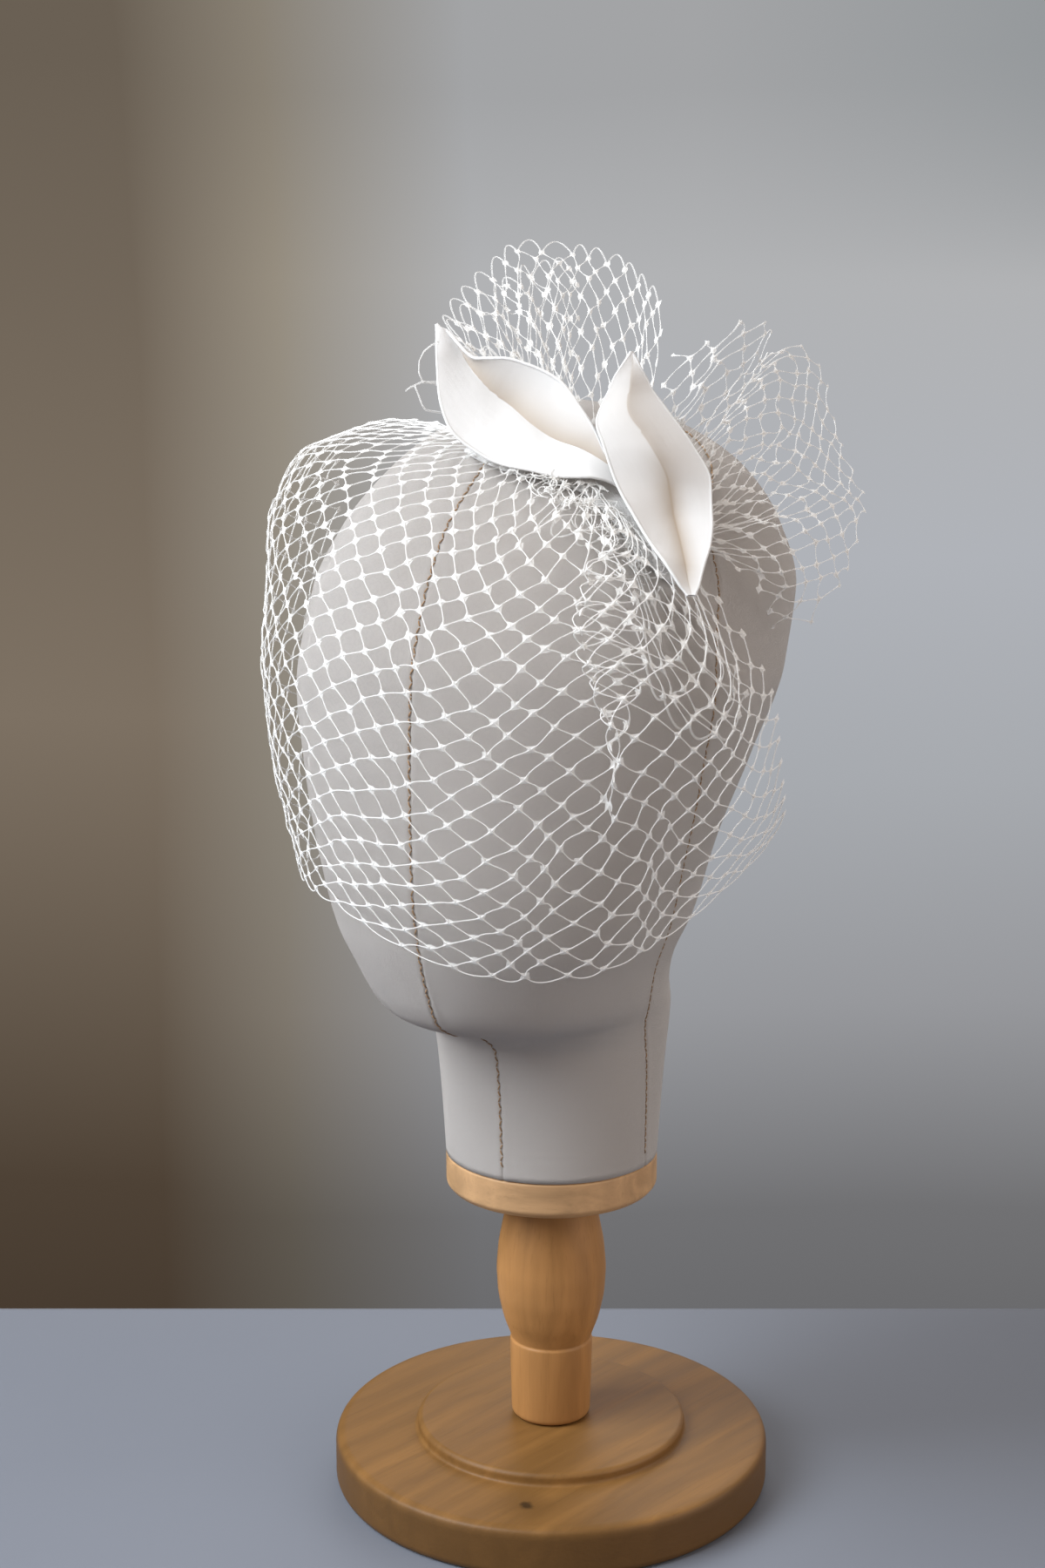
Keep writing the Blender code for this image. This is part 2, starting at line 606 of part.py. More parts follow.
def build():
    clear_scene()
    group = collection()
    wood = material("wood", (0.58, 0.36, 0.17), 0.5)
    linen = material("linen", (0.74, 0.72, 0.69), 0.9, sheen=0.2)
    net = material("net", (0.86, 0.86, 0.84), 0.6)
    satin = material("satin", (0.88, 0.86, 0.81), 0.35, sheen=0.4)
    cloth = material("pad_cloth", (0.8, 0.77, 0.7), 0.8)
    add_turned(group, "stand_base", BASE_PROFILE, wood)
    add_turned(group, "stand_post", POST_PROFILE, wood)
    add_turned(group, "neck_plate", PLATE_PROFILE, wood)
    make_head(group, linen)
    make_pad(group, cloth)
    make_veil(group, net)
    make_frill(group, net)
    make_ruffle(group, "ruffle_top", TOP_RUFFLE, 9, 1.4, 50, net)
    make_ruffle(group, "ruffle_side", SIDE_RUFFLE, 10, 1.2, 56, net)
    add_sheet(group, "leaf_left", leaf_surface(LEAF_LEFT), LEAF_WALL, satin)
    add_sheet(group, "leaf_right", leaf_surface(LEAF_RIGHT), LEAF_WALL, satin)


build()
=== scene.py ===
"""A birdcage veil on a linen-covered display head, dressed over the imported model.

The net, ruffles, leaves, pad, head and stand are surfaces worked out as whole arrays from the same tables
as the solids. Sizes in the tables are millimetres and degrees. The face looks along -Y, the wearer's left
is +X, and the origin is the middle of the foot's underside.
"""

import bpy
import numpy as np
from bpy.props import FloatProperty, FloatVectorProperty, IntProperty, PointerProperty
from bpy.types import Operator, Panel, PropertyGroup
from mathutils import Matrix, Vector


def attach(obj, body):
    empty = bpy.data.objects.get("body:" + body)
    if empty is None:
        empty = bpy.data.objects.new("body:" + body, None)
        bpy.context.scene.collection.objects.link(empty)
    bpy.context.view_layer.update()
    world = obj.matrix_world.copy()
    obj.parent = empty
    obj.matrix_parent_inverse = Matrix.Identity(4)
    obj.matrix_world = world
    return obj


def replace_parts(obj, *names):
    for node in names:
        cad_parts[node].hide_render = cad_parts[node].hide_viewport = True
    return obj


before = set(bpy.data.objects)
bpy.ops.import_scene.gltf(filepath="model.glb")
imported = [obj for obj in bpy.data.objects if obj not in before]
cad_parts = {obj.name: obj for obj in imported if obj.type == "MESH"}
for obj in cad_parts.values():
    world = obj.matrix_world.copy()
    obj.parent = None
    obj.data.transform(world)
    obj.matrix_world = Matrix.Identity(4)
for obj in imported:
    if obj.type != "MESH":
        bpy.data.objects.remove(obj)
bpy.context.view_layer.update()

bl_info = {
    "name": "Birdcage veil on a display head",
    "version": (1, 0, 0),
    "blender": (4, 5, 0),
    "location": "3D View > Sidebar > Veil",
    "description": "Builds the veil's net, ruffles and satin leaves, the linen head and the turned wooden stand",
    "category": "Add Mesh",
}

MM = 0.001
SEED = 11

# Sizes that the other pieces follow, in millimetres.
SEAT_GAP = 0.3
BASE_RADIUS = 80.0
BASE_THICKNESS = 18.0
DAIS_RADIUS = 49.5
DAIS_THICKNESS = 4.5
PLATE_RADIUS = 38.4
PLATE_BOTTOM = 112.0
PLATE_TOP = 125.0
NET_WALL = 1.0
RUFFLE_WALL = 1.0
LEAF_WALL = 1.2
PAD_THICKNESS = 1.8
PAD_FRONT = 3.0

# The headpiece sits to the front left of the head, turned by this many degrees from the face.
HEADPIECE_TURN = 27.0

# Directions to the veil are taken from this point in the middle of the head.
HEAD_MIDDLE = np.array([0.0, -8.0, 296.0])

HEAD_COLUMNS = ("height", "half_width", "front", "back", "widest")
HEAD_SECTIONS = (
    (125.3, 38.4, -38.4, 38.4, 0.0),
    (150.0, 40.0, -40.0, 40.0, 0.0),
    (172.0, 42.0, -43.0, 42.0, 0.0),
    (182.0, 43.5, -56.0, 43.0, -3.0),
    (187.0, 45.0, -73.0, 43.0, -10.0),
    (193.0, 47.0, -83.5, 43.5, -20.0),
    (204.0, 51.0, -90.0, 45.0, -28.0),
    (220.0, 59.0, -95.8, 48.0, -30.0),
    (245.0, 66.0, -100.0, 56.0, -29.0),
    (275.0, 75.0, -100.8, 71.3, -20.0),
    (305.0, 82.0, -99.6, 84.8, -6.7),
    (330.0, 81.8, -91.7, 90.5, 5.8),
    (352.0, 74.0, -77.8, 86.8, 12.0),
    (370.0, 62.0, -55.0, 72.8, 14.0),
    (383.0, 46.0, -34.0, 51.0, 12.0),
    (391.0, 27.0, -14.0, 29.0, 9.0),
    (394.0, 6.0, 2.0, 14.0, 8.0),
)
BASE_PROFILE = (
    (0.0, BASE_THICKNESS + DAIS_THICKNESS),
    (DAIS_RADIUS - 1.2, BASE_THICKNESS + DAIS_THICKNESS),
    (DAIS_RADIUS, BASE_THICKNESS + DAIS_THICKNESS - 1.2),
    (DAIS_RADIUS, BASE_THICKNESS),
    (BASE_RADIUS - 3.0, BASE_THICKNESS),
    (BASE_RADIUS - 0.7, BASE_THICKNESS - 0.9),
    (BASE_RADIUS, BASE_THICKNESS - 3.0),
    (BASE_RADIUS, 2.5),
    (BASE_RADIUS - 0.8, 0.8),
    (BASE_RADIUS - 2.5, 0.0),
    (0.0, 0.0),
)
POST_PROFILE = (
    (0.0, PLATE_BOTTOM - SEAT_GAP),
    (15.2, PLATE_BOTTOM - SEAT_GAP),
    (17.1, 101.0),
    (19.3, 90.0),
    (20.2, 80.0),
    (19.6, 70.0),
    (17.6, 61.0),
    (14.6, 53.0),
    (15.2, 52.2),
    (15.2, 49.0),
    (14.5, BASE_THICKNESS + DAIS_THICKNESS + SEAT_GAP),
    (0.0, BASE_THICKNESS + DAIS_THICKNESS + SEAT_GAP),
)
PLATE_PROFILE = (
    (0.0, PLATE_TOP),
    (PLATE_RADIUS - 0.6, PLATE_TOP),
    (PLATE_RADIUS, PLATE_TOP - 0.6),
    (PLATE_RADIUS, PLATE_BOTTOM + 2.2),
    (PLATE_RADIUS - 1.9, PLATE_BOTTOM),
    (0.0, PLATE_BOTTOM),
)

# Each line of the veil runs from the pad (gather turn and rise) to the lower edge (edge turn and rise).
# A turn is from the face towards the wearer's left, a rise is above the level of the head's middle.
VEIL_COLUMNS = ("share", "gather_turn", "gather_rise", "edge_turn", "edge_rise")
VEIL_LINES = (
    (0.00, -35.0, 70.0, -125.0, -26.0),
    (0.09, -33.0, 70.0, -105.0, -36.0),
    (0.17, -29.0, 69.0, -87.0, -38.0),
    (0.25, -22.0, 68.0, -68.0, -38.0),
    (0.36, -4.0, 64.0, -43.0, -34.5),
    (0.47, 20.0, 58.0, -19.0, -33.0),
    (0.56, 31.0, 56.0, 2.0, -37.0),
    (0.64, 39.0, 53.0, 20.0, -41.0),
    (0.72, 44.0, 49.0, 38.0, -43.0),
    (0.80, 47.5, 44.0, 56.0, -41.0),
    (0.90, 52.0, 36.5, 78.0, -36.0),
    (0.96, 56.0, 31.5, 90.0, -31.5),
    (1.00, 61.0, 28.0, 97.0, -26.0),
)
# How far the net stands off the head: a row for each rise, a column for each turn.
STAND_TURNS = (-125.0, -67.0, -20.0, 20.0, 45.0, 70.0, 100.0)
STAND_ROWS = (
    # rise, stand at each turn
    (-42.0, 8.0, 8.0, 8.0, 11.0, 12.0, 14.0, 20.0),
    (-27.0, 8.0, 9.5, 8.0, 12.0, 12.0, 15.0, 20.0),
    (-16.0, 8.0, 11.5, 9.0, 12.5, 12.0, 14.0, 16.0),
    (-3.0, 8.0, 10.5, 11.0, 13.0, 13.0, 12.0, 12.0),
    (10.0, 10.0, 13.5, 12.0, 13.0, 13.0, 11.5, 12.0),
    (24.0, 15.0, 17.5, 12.5, 11.5, 9.0, 9.0, 12.0),
    (33.0, 20.0, 24.0, 13.0, 9.0, 7.0, 7.5, 11.0),
    (43.0, 22.0, 26.5, 12.0, 6.0, 5.0, 5.5, 9.0),
    (50.0, 19.0, 21.0, 10.0, 4.8, 4.2, 4.8, 8.0),
    (60.0, 10.0, 12.0, 6.0, 4.0, 4.0, 4.5, 5.0),
    (70.0, 5.0, 5.0, 4.0, 3.8, 3.8, 4.0, 4.0),
    (90.0, 4.0, 4.0, 4.0, 3.8, 3.8, 4.0, 4.0),
)
# The pad's own thickness, a gap and half the net's wall lie under the gathered edge.
GATHER_STAND = SEAT_GAP + PAD_THICKNESS + SEAT_GAP + NET_WALL / 2

VEIL_GATHERS = 21
GATHER_DEPTH = 1.2
GATHER_ROOM = 0.35
# The fold's stretch of the strip takes a closer spacing of steps.
SPACING_COLUMNS = ("step_share", "strip_share")
SPACING = ((0.0, 0.0), (0.52, 0.60), (0.84, 0.82), (1.0, 1.0))

# The deep fold in front runs back over itself: its size shrinks to nothing at its lower tip.
FOLD_AT = 0.715
FOLD_SPAN = 0.10
FOLD_BEND = 0.3
FOLD_COLUMNS = ("fall", "size", "lift")
FOLD_SIZES = (
    (0.00, 0.0, 0.0),
    (0.06, 0.0, 0.5),
    (0.11, 0.008, 2.5),
    (0.17, 0.035, 4.8),
    (0.25, 0.11, 7.0),
    (0.38, 0.125, 9.0),
    (0.52, 0.07, 9.0),
    (0.66, 0.03, 4.5),
    (0.80, 0.0, 0.5),
    (1.00, 0.0, 0.0),
)

FRILL_LINES = (
    (0.00, 49.5, 40.0, 45.0, 14.0),
    (0.25, 51.5, 37.0, 50.0, 3.0),
    (0.50, 54.0, 34.0, 58.0, -4.0),
    (0.75, 56.5, 31.0, 68.0, -6.0),
    (1.00, 60.5, 28.5, 77.0, -2.0),
)
FRILL_STAND_COLUMNS = ("fall", "stand")
FRILL_STANDS = ((0.0, SEAT_GAP + RUFFLE_WALL / 2 + 0.2), (0.2, 2.4), (0.5, 4.8), (1.0, 6.0))
FRILL_START = 0.18
FRILL_WAVES = 5
FRILL_WAVE_DEPTH = 1.2

# How far the sewing pad reaches behind the line where the veil is gathered.
PAD_COLUMNS = ("share", "back")
PAD_BACKS = (
    (0.31, 10.0), (0.35, 20.0), (0.40, 23.5), (0.50, 25.0), (0.56, 27.0), (0.64, 31.0),
    (0.75, 28.0), (0.85, 25.0), (0.93, 20.0), (1.00, 15.0),
)

# The two ruffles: the rim in the headpiece's turned frame (across, out towards the front, height), where
# the foot stands on the pad (share along the gather line, how far behind it), and how far a line arches.
RUFFLE_COLUMNS = ("share", "across", "out", "height", "along", "behind", "arch")
TOP_RUFFLE = (
    (0.00, 36.0, 20.0, 427.0, 0.67, 27.0, 10.0),
    (0.10, 31.0, 8.0, 434.0, 0.65, 28.0, 10.0),
    (0.22, 21.0, -5.0, 443.0, 0.60, 27.5, 11.0),
    (0.36, 5.0, -12.0, 447.0, 0.54, 23.5, 12.0),
    (0.48, -11.0, -10.0, 448.0, 0.465, 22.5, 12.0),
    (0.58, -22.0, -2.0, 440.0, 0.41, 22.5, 12.0),
    (0.68, -30.0, 10.0, 432.0, 0.37, 19.5, 11.0),
    (0.78, -37.0, 21.0, 421.0, 0.36, 15.0, 9.0),
    (0.88, -31.0, 32.0, 411.0, 0.385, 12.0, 5.0),
    (0.95, -17.0, 36.0, 411.0, 0.43, 11.5, 3.0),
    (1.00, -6.0, 37.0, 406.0, 0.475, 12.5, 2.0),
)
SIDE_RUFFLE = (
    (0.00, 38.0, 43.0, 408.0, 0.70, 20.0, 4.0),
    (0.07, 49.0, 48.0, 412.0, 0.72, 21.0, 6.0),
    (0.15, 62.0, 45.0, 419.0, 0.74, 21.5, 8.0),
    (0.22, 71.0, 33.0, 417.0, 0.76, 22.0, 8.0),
    (0.29, 71.0, 20.0, 409.0, 0.785, 22.0, 9.0),
    (0.34, 73.0, 9.0, 409.0, 0.805, 21.5, 9.5),
    (0.40, 82.0, -1.0, 413.0, 0.83, 21.0, 10.0),
    (0.49, 95.0, -15.0, 402.0, 0.865, 19.5, 11.0),
    (0.57, 100.0, -24.0, 387.0, 0.895, 18.0, 13.0),
    (0.65, 103.0, -12.0, 374.0, 0.92, 16.5, 14.0),
    (0.73, 107.0, 5.0, 361.0, 0.94, 15.0, 14.0),
    (0.81, 103.0, 22.0, 350.0, 0.955, 13.5, 14.0),
    (0.89, 94.0, 36.0, 332.0, 0.968, 12.0, 15.0),
    (0.96, 81.0, 42.0, 320.0, 0.98, 10.5, 17.0),
    (1.00, 72.0, 44.0, 320.0, 0.99, 9.0, 19.0),
)
RUFFLE_FOOT_STAND = SEAT_GAP + PAD_THICKNESS + 0.9

# Satin leaves: the crease and both edges from the sewn end to the tip, in the turned frame.
LEAF_COLUMNS = (
    "crease_across", "crease_out", "crease_height",
    "upper_across", "upper_out", "upper_height",
    "lower_across", "lower_out", "lower_height",
)
LEAF_LEFT = (
    (22, 58.8, 368, 19.5, 60, 374.5, 22, 64.4, 364.7),
    (17, 60, 373, 16, 60.5, 377, 18, 65, 368),
    (9, 57, 378, 12.5, 60, 384, 10, 66, 370),
    (1, 53, 381, 8, 58, 391, 2, 65, 370),
    (-7, 49, 386, 1, 54, 400, -8, 63, 372),
    (-15, 44.5, 392, -9, 50, 405, -18, 58.5, 374),
    (-23, 41.5, 397, -17, 47.5, 407, -26, 55, 378),
    (-29, 38.5, 403, -25, 44, 407, -34, 51.5, 385),
    (-33, 36, 410, -31.5, 40, 412, -38, 46, 396),
    (-38, 35, 418, -36.5, 35.5, 420.5, -40.5, 36.5, 415.5),
)
LEAF_RIGHT = (
    (24, 52, 409, 21, 53, 409, 27, 53, 409),
    (26, 50.5, 399, 18, 55, 399, 29.5, 54, 399),
    (29, 51, 389, 13, 61.5, 387, 35, 56, 391),
    (31, 54, 379, 15, 65.5, 380, 43, 59, 380),
    (33, 59, 368, 19, 70.5, 368, 49, 62.5, 368),
    (35, 67, 358.7, 24, 76.5, 358.7, 49, 69, 357.5),
    (37, 76, 351.2, 29, 83, 350.3, 48, 77.5, 350.2),
    (39, 86, 343.3, 34, 91, 343.2, 45, 88, 342.2),
    (41, 93.5, 335, 38.5, 94.5, 335, 43.5, 94.5, 335),
)
LEAF_PUFF = 1.6


def named(columns, rows):
    """Puts a short table's columns under their names."""
    return dict(zip(columns, np.array(rows, float).T))


def smooth(knots, values, places):
    """A curve through the values that never swings past them: one cubic for each span, with the slope at
    a knot the weighted harmonic mean of the slopes beside it, or none where they differ in sign."""
    knots = np.asarray(knots, float)
    values = np.asarray(values, float)
    places = np.clip(np.asarray(places, float), knots[0], knots[-1])
    if values.ndim == 1:
        values = values[:, None] + np.zeros(places.size)
    span = np.diff(knots)[:, None]
    rise = np.diff(values, axis=0) / span
    before, after = rise[:-1], rise[1:]
    near, far = 2 * span[1:] + span[:-1], span[1:] + 2 * span[:-1]
    same = before * after > 0
    safe_before = np.where(same, before, 1.0)
    safe_after = np.where(same, after, 1.0)
    inner = np.where(same, (near + far) / (near / safe_before + far / safe_after), 0.0)
    slope = np.concatenate([rise[:1], inner, rise[-1:]])
    flat = places.ravel()
    at = np.clip(np.searchsorted(knots, flat, side="right") - 1, 0, len(knots) - 2)
    pick = np.arange(flat.size)
    width = knots[at + 1] - knots[at]
    u = (flat - knots[at]) / width
    start, end = values[at, pick], values[at + 1, pick]
    lean_out, lean_in = slope[at, pick] * width, slope[at + 1, pick] * width
    curve = (
        start * (2 * u**3 - 3 * u**2 + 1)
        + lean_out * (u**3 - 2 * u**2 + u)
        + end * (3 * u**2 - 2 * u**3)
        + lean_in * (u**3 - u**2)
    )
    return curve.reshape(places.shape)


HEAD = named(HEAD_COLUMNS, HEAD_SECTIONS)


def head_sections(heights):
    """The head's half width, front, back and widest line at some heights."""
    return [smooth(HEAD["height"], HEAD[name], heights) for name in HEAD_COLUMNS[1:]]


def in_head(points):
    """Whether points lie inside the head: a section is two half ellipses that meet at its widest line."""
    half_width, front, back, widest = head_sections(points[..., 2])
    behind = points[..., 1] > widest
    depth = np.where(behind, back - widest, widest - front)
    ratio = (points[..., 0] / half_width) ** 2 + ((points[..., 1] - widest) / depth) ** 2
    return (ratio < 1.0) & (points[..., 2] < HEAD["height"][-1])


def head_reach(directions):
    """The distance from the head's middle to its surface along each direction, by halving."""
    low = np.full(directions.shape[:-1], 20.0)
    high = np.full(directions.shape[:-1], 170.0)
    for _ in range(36):
        middle = (low + high) / 2
        inside = in_head(HEAD_MIDDLE + directions * middle[..., None])
        low = np.where(inside, middle, low)
        high = np.where(inside, high, middle)
    return low


def aim(turn, rise):
    """The unit direction with a turn from the face and a rise above level, in degrees."""
    turn, rise = np.radians(turn), np.radians(rise)
    return np.stack([np.cos(rise) * np.sin(turn), -np.cos(rise) * np.cos(turn), np.sin(rise)], -1)


def sweep(start, end, share):
    """A direction on the great circle from one direction to another."""
    angle = np.arccos(np.clip((start * end).sum(-1), -1.0, 1.0))[..., None]
    share = np.asarray(share)[..., None]
    return (np.sin((1 - share) * angle) * start + np.sin(share * angle) * end) / np.sin(angle)


def ends_of(lines, share):
    """The directions of a net line's gathered end and of its lower end."""
    table = named(VEIL_COLUMNS, lines)
    turn, rise, edge_turn, edge_rise = [smooth(table["share"], table[n], share) for n in VEIL_COLUMNS[1:]]
    return aim(turn, rise), aim(edge_turn, edge_rise)


def stand_off(directions):
    """How far the net stands off the head in each direction, from the table of turns and rises."""
    turn = np.degrees(np.arctan2(directions[..., 0], -directions[..., 1]))
    rise = np.degrees(np.arcsin(np.clip(directions[..., 2], -1.0, 1.0)))
    rows = np.array(STAND_ROWS)
    by_turn = np.stack([smooth(rows[:, 0], rows[:, k], rise.ravel()) for k in range(1, rows.shape[1])])
    return smooth(STAND_TURNS, by_turn, turn.ravel()).reshape(turn.shape)


def ease(x):
    """Rises softly from 0 to 1 as x does."""
    x = np.clip(x, 0.0, 1.0)
    return x * x * (3 - 2 * x)


def veil_surface(step_share, fall):
    """The veil's middle surface. Each line goes on a great circle from the band to the lower edge, as far
    off the head as the table says, with small waves that die out below the gathers. At the fold the lines
    run on, back and on again by a sine under a bell, and each bend takes the net further out."""
    spacing = named(SPACING_COLUMNS, SPACING)
    strip = smooth(spacing["step_share"], spacing["strip_share"], step_share)
    sizes = named(FOLD_COLUMNS, FOLD_SIZES)
    size, lift = [smooth(sizes["fall"], sizes[name], fall) for name in ("size", "lift")]
    place = (strip - FOLD_AT) / FOLD_SPAN
    inside = np.clip(place, -1.0, 1.0)
    shift = -size * (np.sin(np.pi * inside) + 0.15) * np.cos(np.pi * inside / 2) ** 2
    gathered, edge = ends_of(VEIL_LINES, strip + shift)
    directions = sweep(gathered, edge, fall)
    stand = stand_off(directions)
    near_band = 1 - ease(fall / 0.06)
    stand = stand + near_band * (GATHER_STAND - stand)
    apart = np.linalg.norm(ends_of(VEIL_LINES, strip + 0.5 / VEIL_GATHERS)[0] - gathered, axis=-1)
    depth = np.minimum(GATHER_DEPTH, GATHER_ROOM * apart) * ease(strip / 0.12) * ease((1 - strip) / 0.12)
    calm = 1 - 0.8 * np.exp(-(place**2)) * ease(size / 0.05)
    wave = depth * calm * (fall / 0.09) * np.exp(1 - fall / 0.09)
    stand = stand + wave * np.cos(2 * np.pi * VEIL_GATHERS * step_share)
    bend = FOLD_BEND * ease(size / 0.09)
    bends = ease((place + bend) / 0.4 + 0.5) + ease((place - bend) / 0.4 + 0.5)
    layer = bends / 2 * (1 - ease((place - 1) / 1.6))
    stand = stand + lift * layer
    return HEAD_MIDDLE + directions * (head_reach(directions) + stand)[..., None]


def frill_surface(share, fall):
    """The short second layer between the veil and the head, with a few waves that grow to its edge. It
    starts a little below the gathers, clear of the pad's front edge."""
    gathered, edge = ends_of(FRILL_LINES, share)
    directions = sweep(gathered, edge, FRILL_START + (1 - FRILL_START) * fall)
    stands = named(FRILL_STAND_COLUMNS, FRILL_STANDS)
    stand = smooth(stands["fall"], stands["stand"], fall)
    stand = stand + FRILL_WAVE_DEPTH * fall * np.sin(2 * np.pi * FRILL_WAVES * share)
    return HEAD_MIDDLE + directions * (head_reach(directions) + stand)[..., None]


def turned(across, out, height):
    """Places points of the headpiece's turned frame in the part's own."""
    angle = np.radians(HEADPIECE_TURN)
    x = across * np.cos(angle) + out * np.sin(angle)
    y = across * np.sin(angle) - out * np.cos(angle)
    return np.stack([x, y, np.broadcast_to(height, np.shape(x))], -1)


def gather_frame(share):
    """The direction to the gather line, and the one square to that line towards the back of the head."""
    along, _ = ends_of(VEIL_LINES, share)
    ahead, _ = ends_of(VEIL_LINES, np.clip(share + 0.004, 0.0, 1.0))
    back, _ = ends_of(VEIL_LINES, np.clip(share - 0.004, 0.0, 1.0))
    behind = np.cross(along, ahead - back)
    behind /= np.linalg.norm(behind, axis=-1, keepdims=True)
    return along, behind


def on_pad(share, behind_by, stand):
    """A point by its place along the gather line, how far it lies behind it and how far off the head."""
    along, behind = gather_frame(share)
    directions = along + behind * (np.asarray(behind_by) / 88.0)[..., None]
    directions /= np.linalg.norm(directions, axis=-1, keepdims=True)
    return HEAD_MIDDLE + directions * (head_reach(directions) + stand)[..., None]


def ruffle_surface(rows, waves, depth, share, rise):
    """A gathered ruffle: each line is a quadratic curve from its foot on the pad, over a middle point
    that is pushed off the head, to the rim. Small waves across the lines fade out at both ends."""
    table = named(RUFFLE_COLUMNS, rows)
    read = {name: smooth(table["share"], table[name], share) for name in RUFFLE_COLUMNS[1:]}
    rim = turned(read["across"], read["out"], read["height"])
    foot = on_pad(read["along"], read["behind"], RUFFLE_FOOT_STAND)
    off_head = foot - HEAD_MIDDLE
    off_head /= np.linalg.norm(off_head, axis=-1, keepdims=True)
    middle = (foot + rim) / 2 + off_head * read["arch"][..., None]
    wave = depth * np.sin(2 * np.pi * waves * share) * np.sin(np.pi * rise) ** 2
    rise = rise[..., None]
    line = (1 - rise) ** 2 * foot + 2 * rise * (1 - rise) * middle + rise**2 * rim
    later = {name: smooth(table["share"], table[name], share + 0.004) for name in ("across", "out", "height")}
    sooner = {name: smooth(table["share"], table[name], share - 0.004) for name in ("across", "out", "height")}
    side = np.cross(turned(**later) - turned(**sooner), rim - foot)
    side /= np.maximum(np.linalg.norm(side, axis=-1, keepdims=True), 1e-9)
    return line + side * wave[..., None]


def leaf_surface(rows, length_steps, side_steps, hollows, power):
    """A folded leaf. Across it a station runs straight from the upper edge to the lower one, with w from
    -1 to 1, plus the crease's depth below that line times a share times 1 less a power of how far w lies
    from the fold, as a part of the way to the edge on its side. A power near 1 is a sharp crease. The
    table gives the share along the leaf, below 0 for a ridge, the part of the width that is left where it
    narrows to its tip, and where the fold lies. Also gives the fold's column in each row."""
    table = named(LEAF_COLUMNS, rows)
    stations = np.linspace(0.0, 1.0, len(rows))
    share = 0.5 - 0.5 * np.cos(np.pi * np.linspace(0.0, 1.0, length_steps + 1))
    read = {name: smooth(stations, table[name], share) for name in LEAF_COLUMNS}
    crease, upper, lower = [
        turned(read[part + "_across"], read[part + "_out"], read[part + "_height"])[:, None]
        for part in ("crease", "upper", "lower")
    ]
    hollow = named(HOLLOW_COLUMNS, hollows)
    depth, width, fold = [smooth(hollow["share"], hollow[name], share)[:, None, None] for name in HOLLOW_COLUMNS[1:]]
    w = np.linspace(-1.0, 1.0, 2 * side_steps + 1)[None, :, None] * width
    off_fold = np.where(w < fold, (fold - w) / (1 + fold), (w - fold) / (1 - fold))
    middle = (upper + lower) / 2
    points = middle + (lower - upper) / 2 * w + (crease - middle) * depth * (1 - off_fold**power)
    column = np.rint((fold / width + 1) * side_steps).astype(int)[:, :, 0]
    return points, column.clip(0, 2 * side_steps)



# The head's side seams: their turn from the face at some heights. The knot in the foot's wood.
SEAM = named(("height", "turn"), (
    (125.0, 98.0), (165.0, 91.0), (197.0, 75.0), (219.0, 68.0), (243.0, 67.5),
    (274.0, 67.0), (305.0, 68.5), (341.0, 74.0), (372.0, 82.0), (394.0, 90.0),
))
FOOT_KNOT = (0.02, -0.06, 0.018)

# The dressed leaves: how much of the crease's depth and of the width shows, and where the fold lies.
HOLLOW_COLUMNS = ("share", "depth", "width", "fold")
# Loose ends of the upper ruffle's net that stick out past the first leaf: across, out, height.
EDGE_BITS = (
    ((-37.5, 43, 412), (-40.0, 43, 411), (-42.5, 43, 409), (-44.0, 43, 406), (-44.2, 43, 402.5), (-43.0, 43, 399.5), (-38.0, 43, 398.5)),
    ((-48.5, 43, 396.5), (-47.0, 43, 397.6), (-45.6, 43, 398.2), (-44.4, 43, 398.8), (-43.2, 43, 399.3), (-41.0, 43, 399.2), (-38.0, 43, 399.4)),
    ((-45.6, 43, 398.2), (-44.8, 43, 396.4), (-44.0, 43, 394.2), (-43.2, 43, 392.0), (-42.0, 43, 390.4), (-40.0, 43, 390.0), (-37.0, 43, 389.6)),
)

# Painted shade beside the folds, darker and warmer towards them: near, far, start, end, warmth.
FRONT_FOLD_SHADE = ((-0.2, -24.0, -4.0, 74.0, 0.8), (-0.2, -8.0, 4.0, 70.0, 0.5))
SIDE_FOLD_SHADE = ((-0.2, 8.0, 42.0, 90.0, 1.0), (0.2, -9.0, 42.0, 90.0, 1.0), (-0.3, 20.0, 4.0, 48.0, 0.6), (0.0, -30.0, 0.0, 90.0, 0.22))
LEAF_LEFT_HOLLOW = (
    (0.0, 0.8, 1.0, 0.0), (0.1, 1.1, 1.0, 0.0), (0.3, 1.25, 1.0, 0.0), (0.55, 1.15, 1.0, 0.0), (0.72, 0.95, 1.0, -0.15),
    (0.86, 0.8, 0.95, -0.4), (0.95, 0.5, 0.62, -0.5), (1.0, 0.0, 0.02, -0.5),
)
LEAF_RIGHT_HOLLOW = (
    (0.0, 1.0, 0.02, 0.1), (0.05, 0.1, 0.6, 0.15), (0.12, -0.35, 1.0, 0.15), (0.38, -0.42, 1.0, 0.1),
    (0.53, 0.05, 1.0, 0.1), (0.66, 0.65, 1.0, 0.1), (0.85, 0.75, 0.97, 0.1), (0.95, 0.7, 0.82, 0.0), (1.0, 0.5, 0.4, 0.0),
)

def unit(vectors):
    """Vectors of length one."""
    return vectors / np.maximum(np.linalg.norm(vectors, axis=-1, keepdims=True), 1e-9)


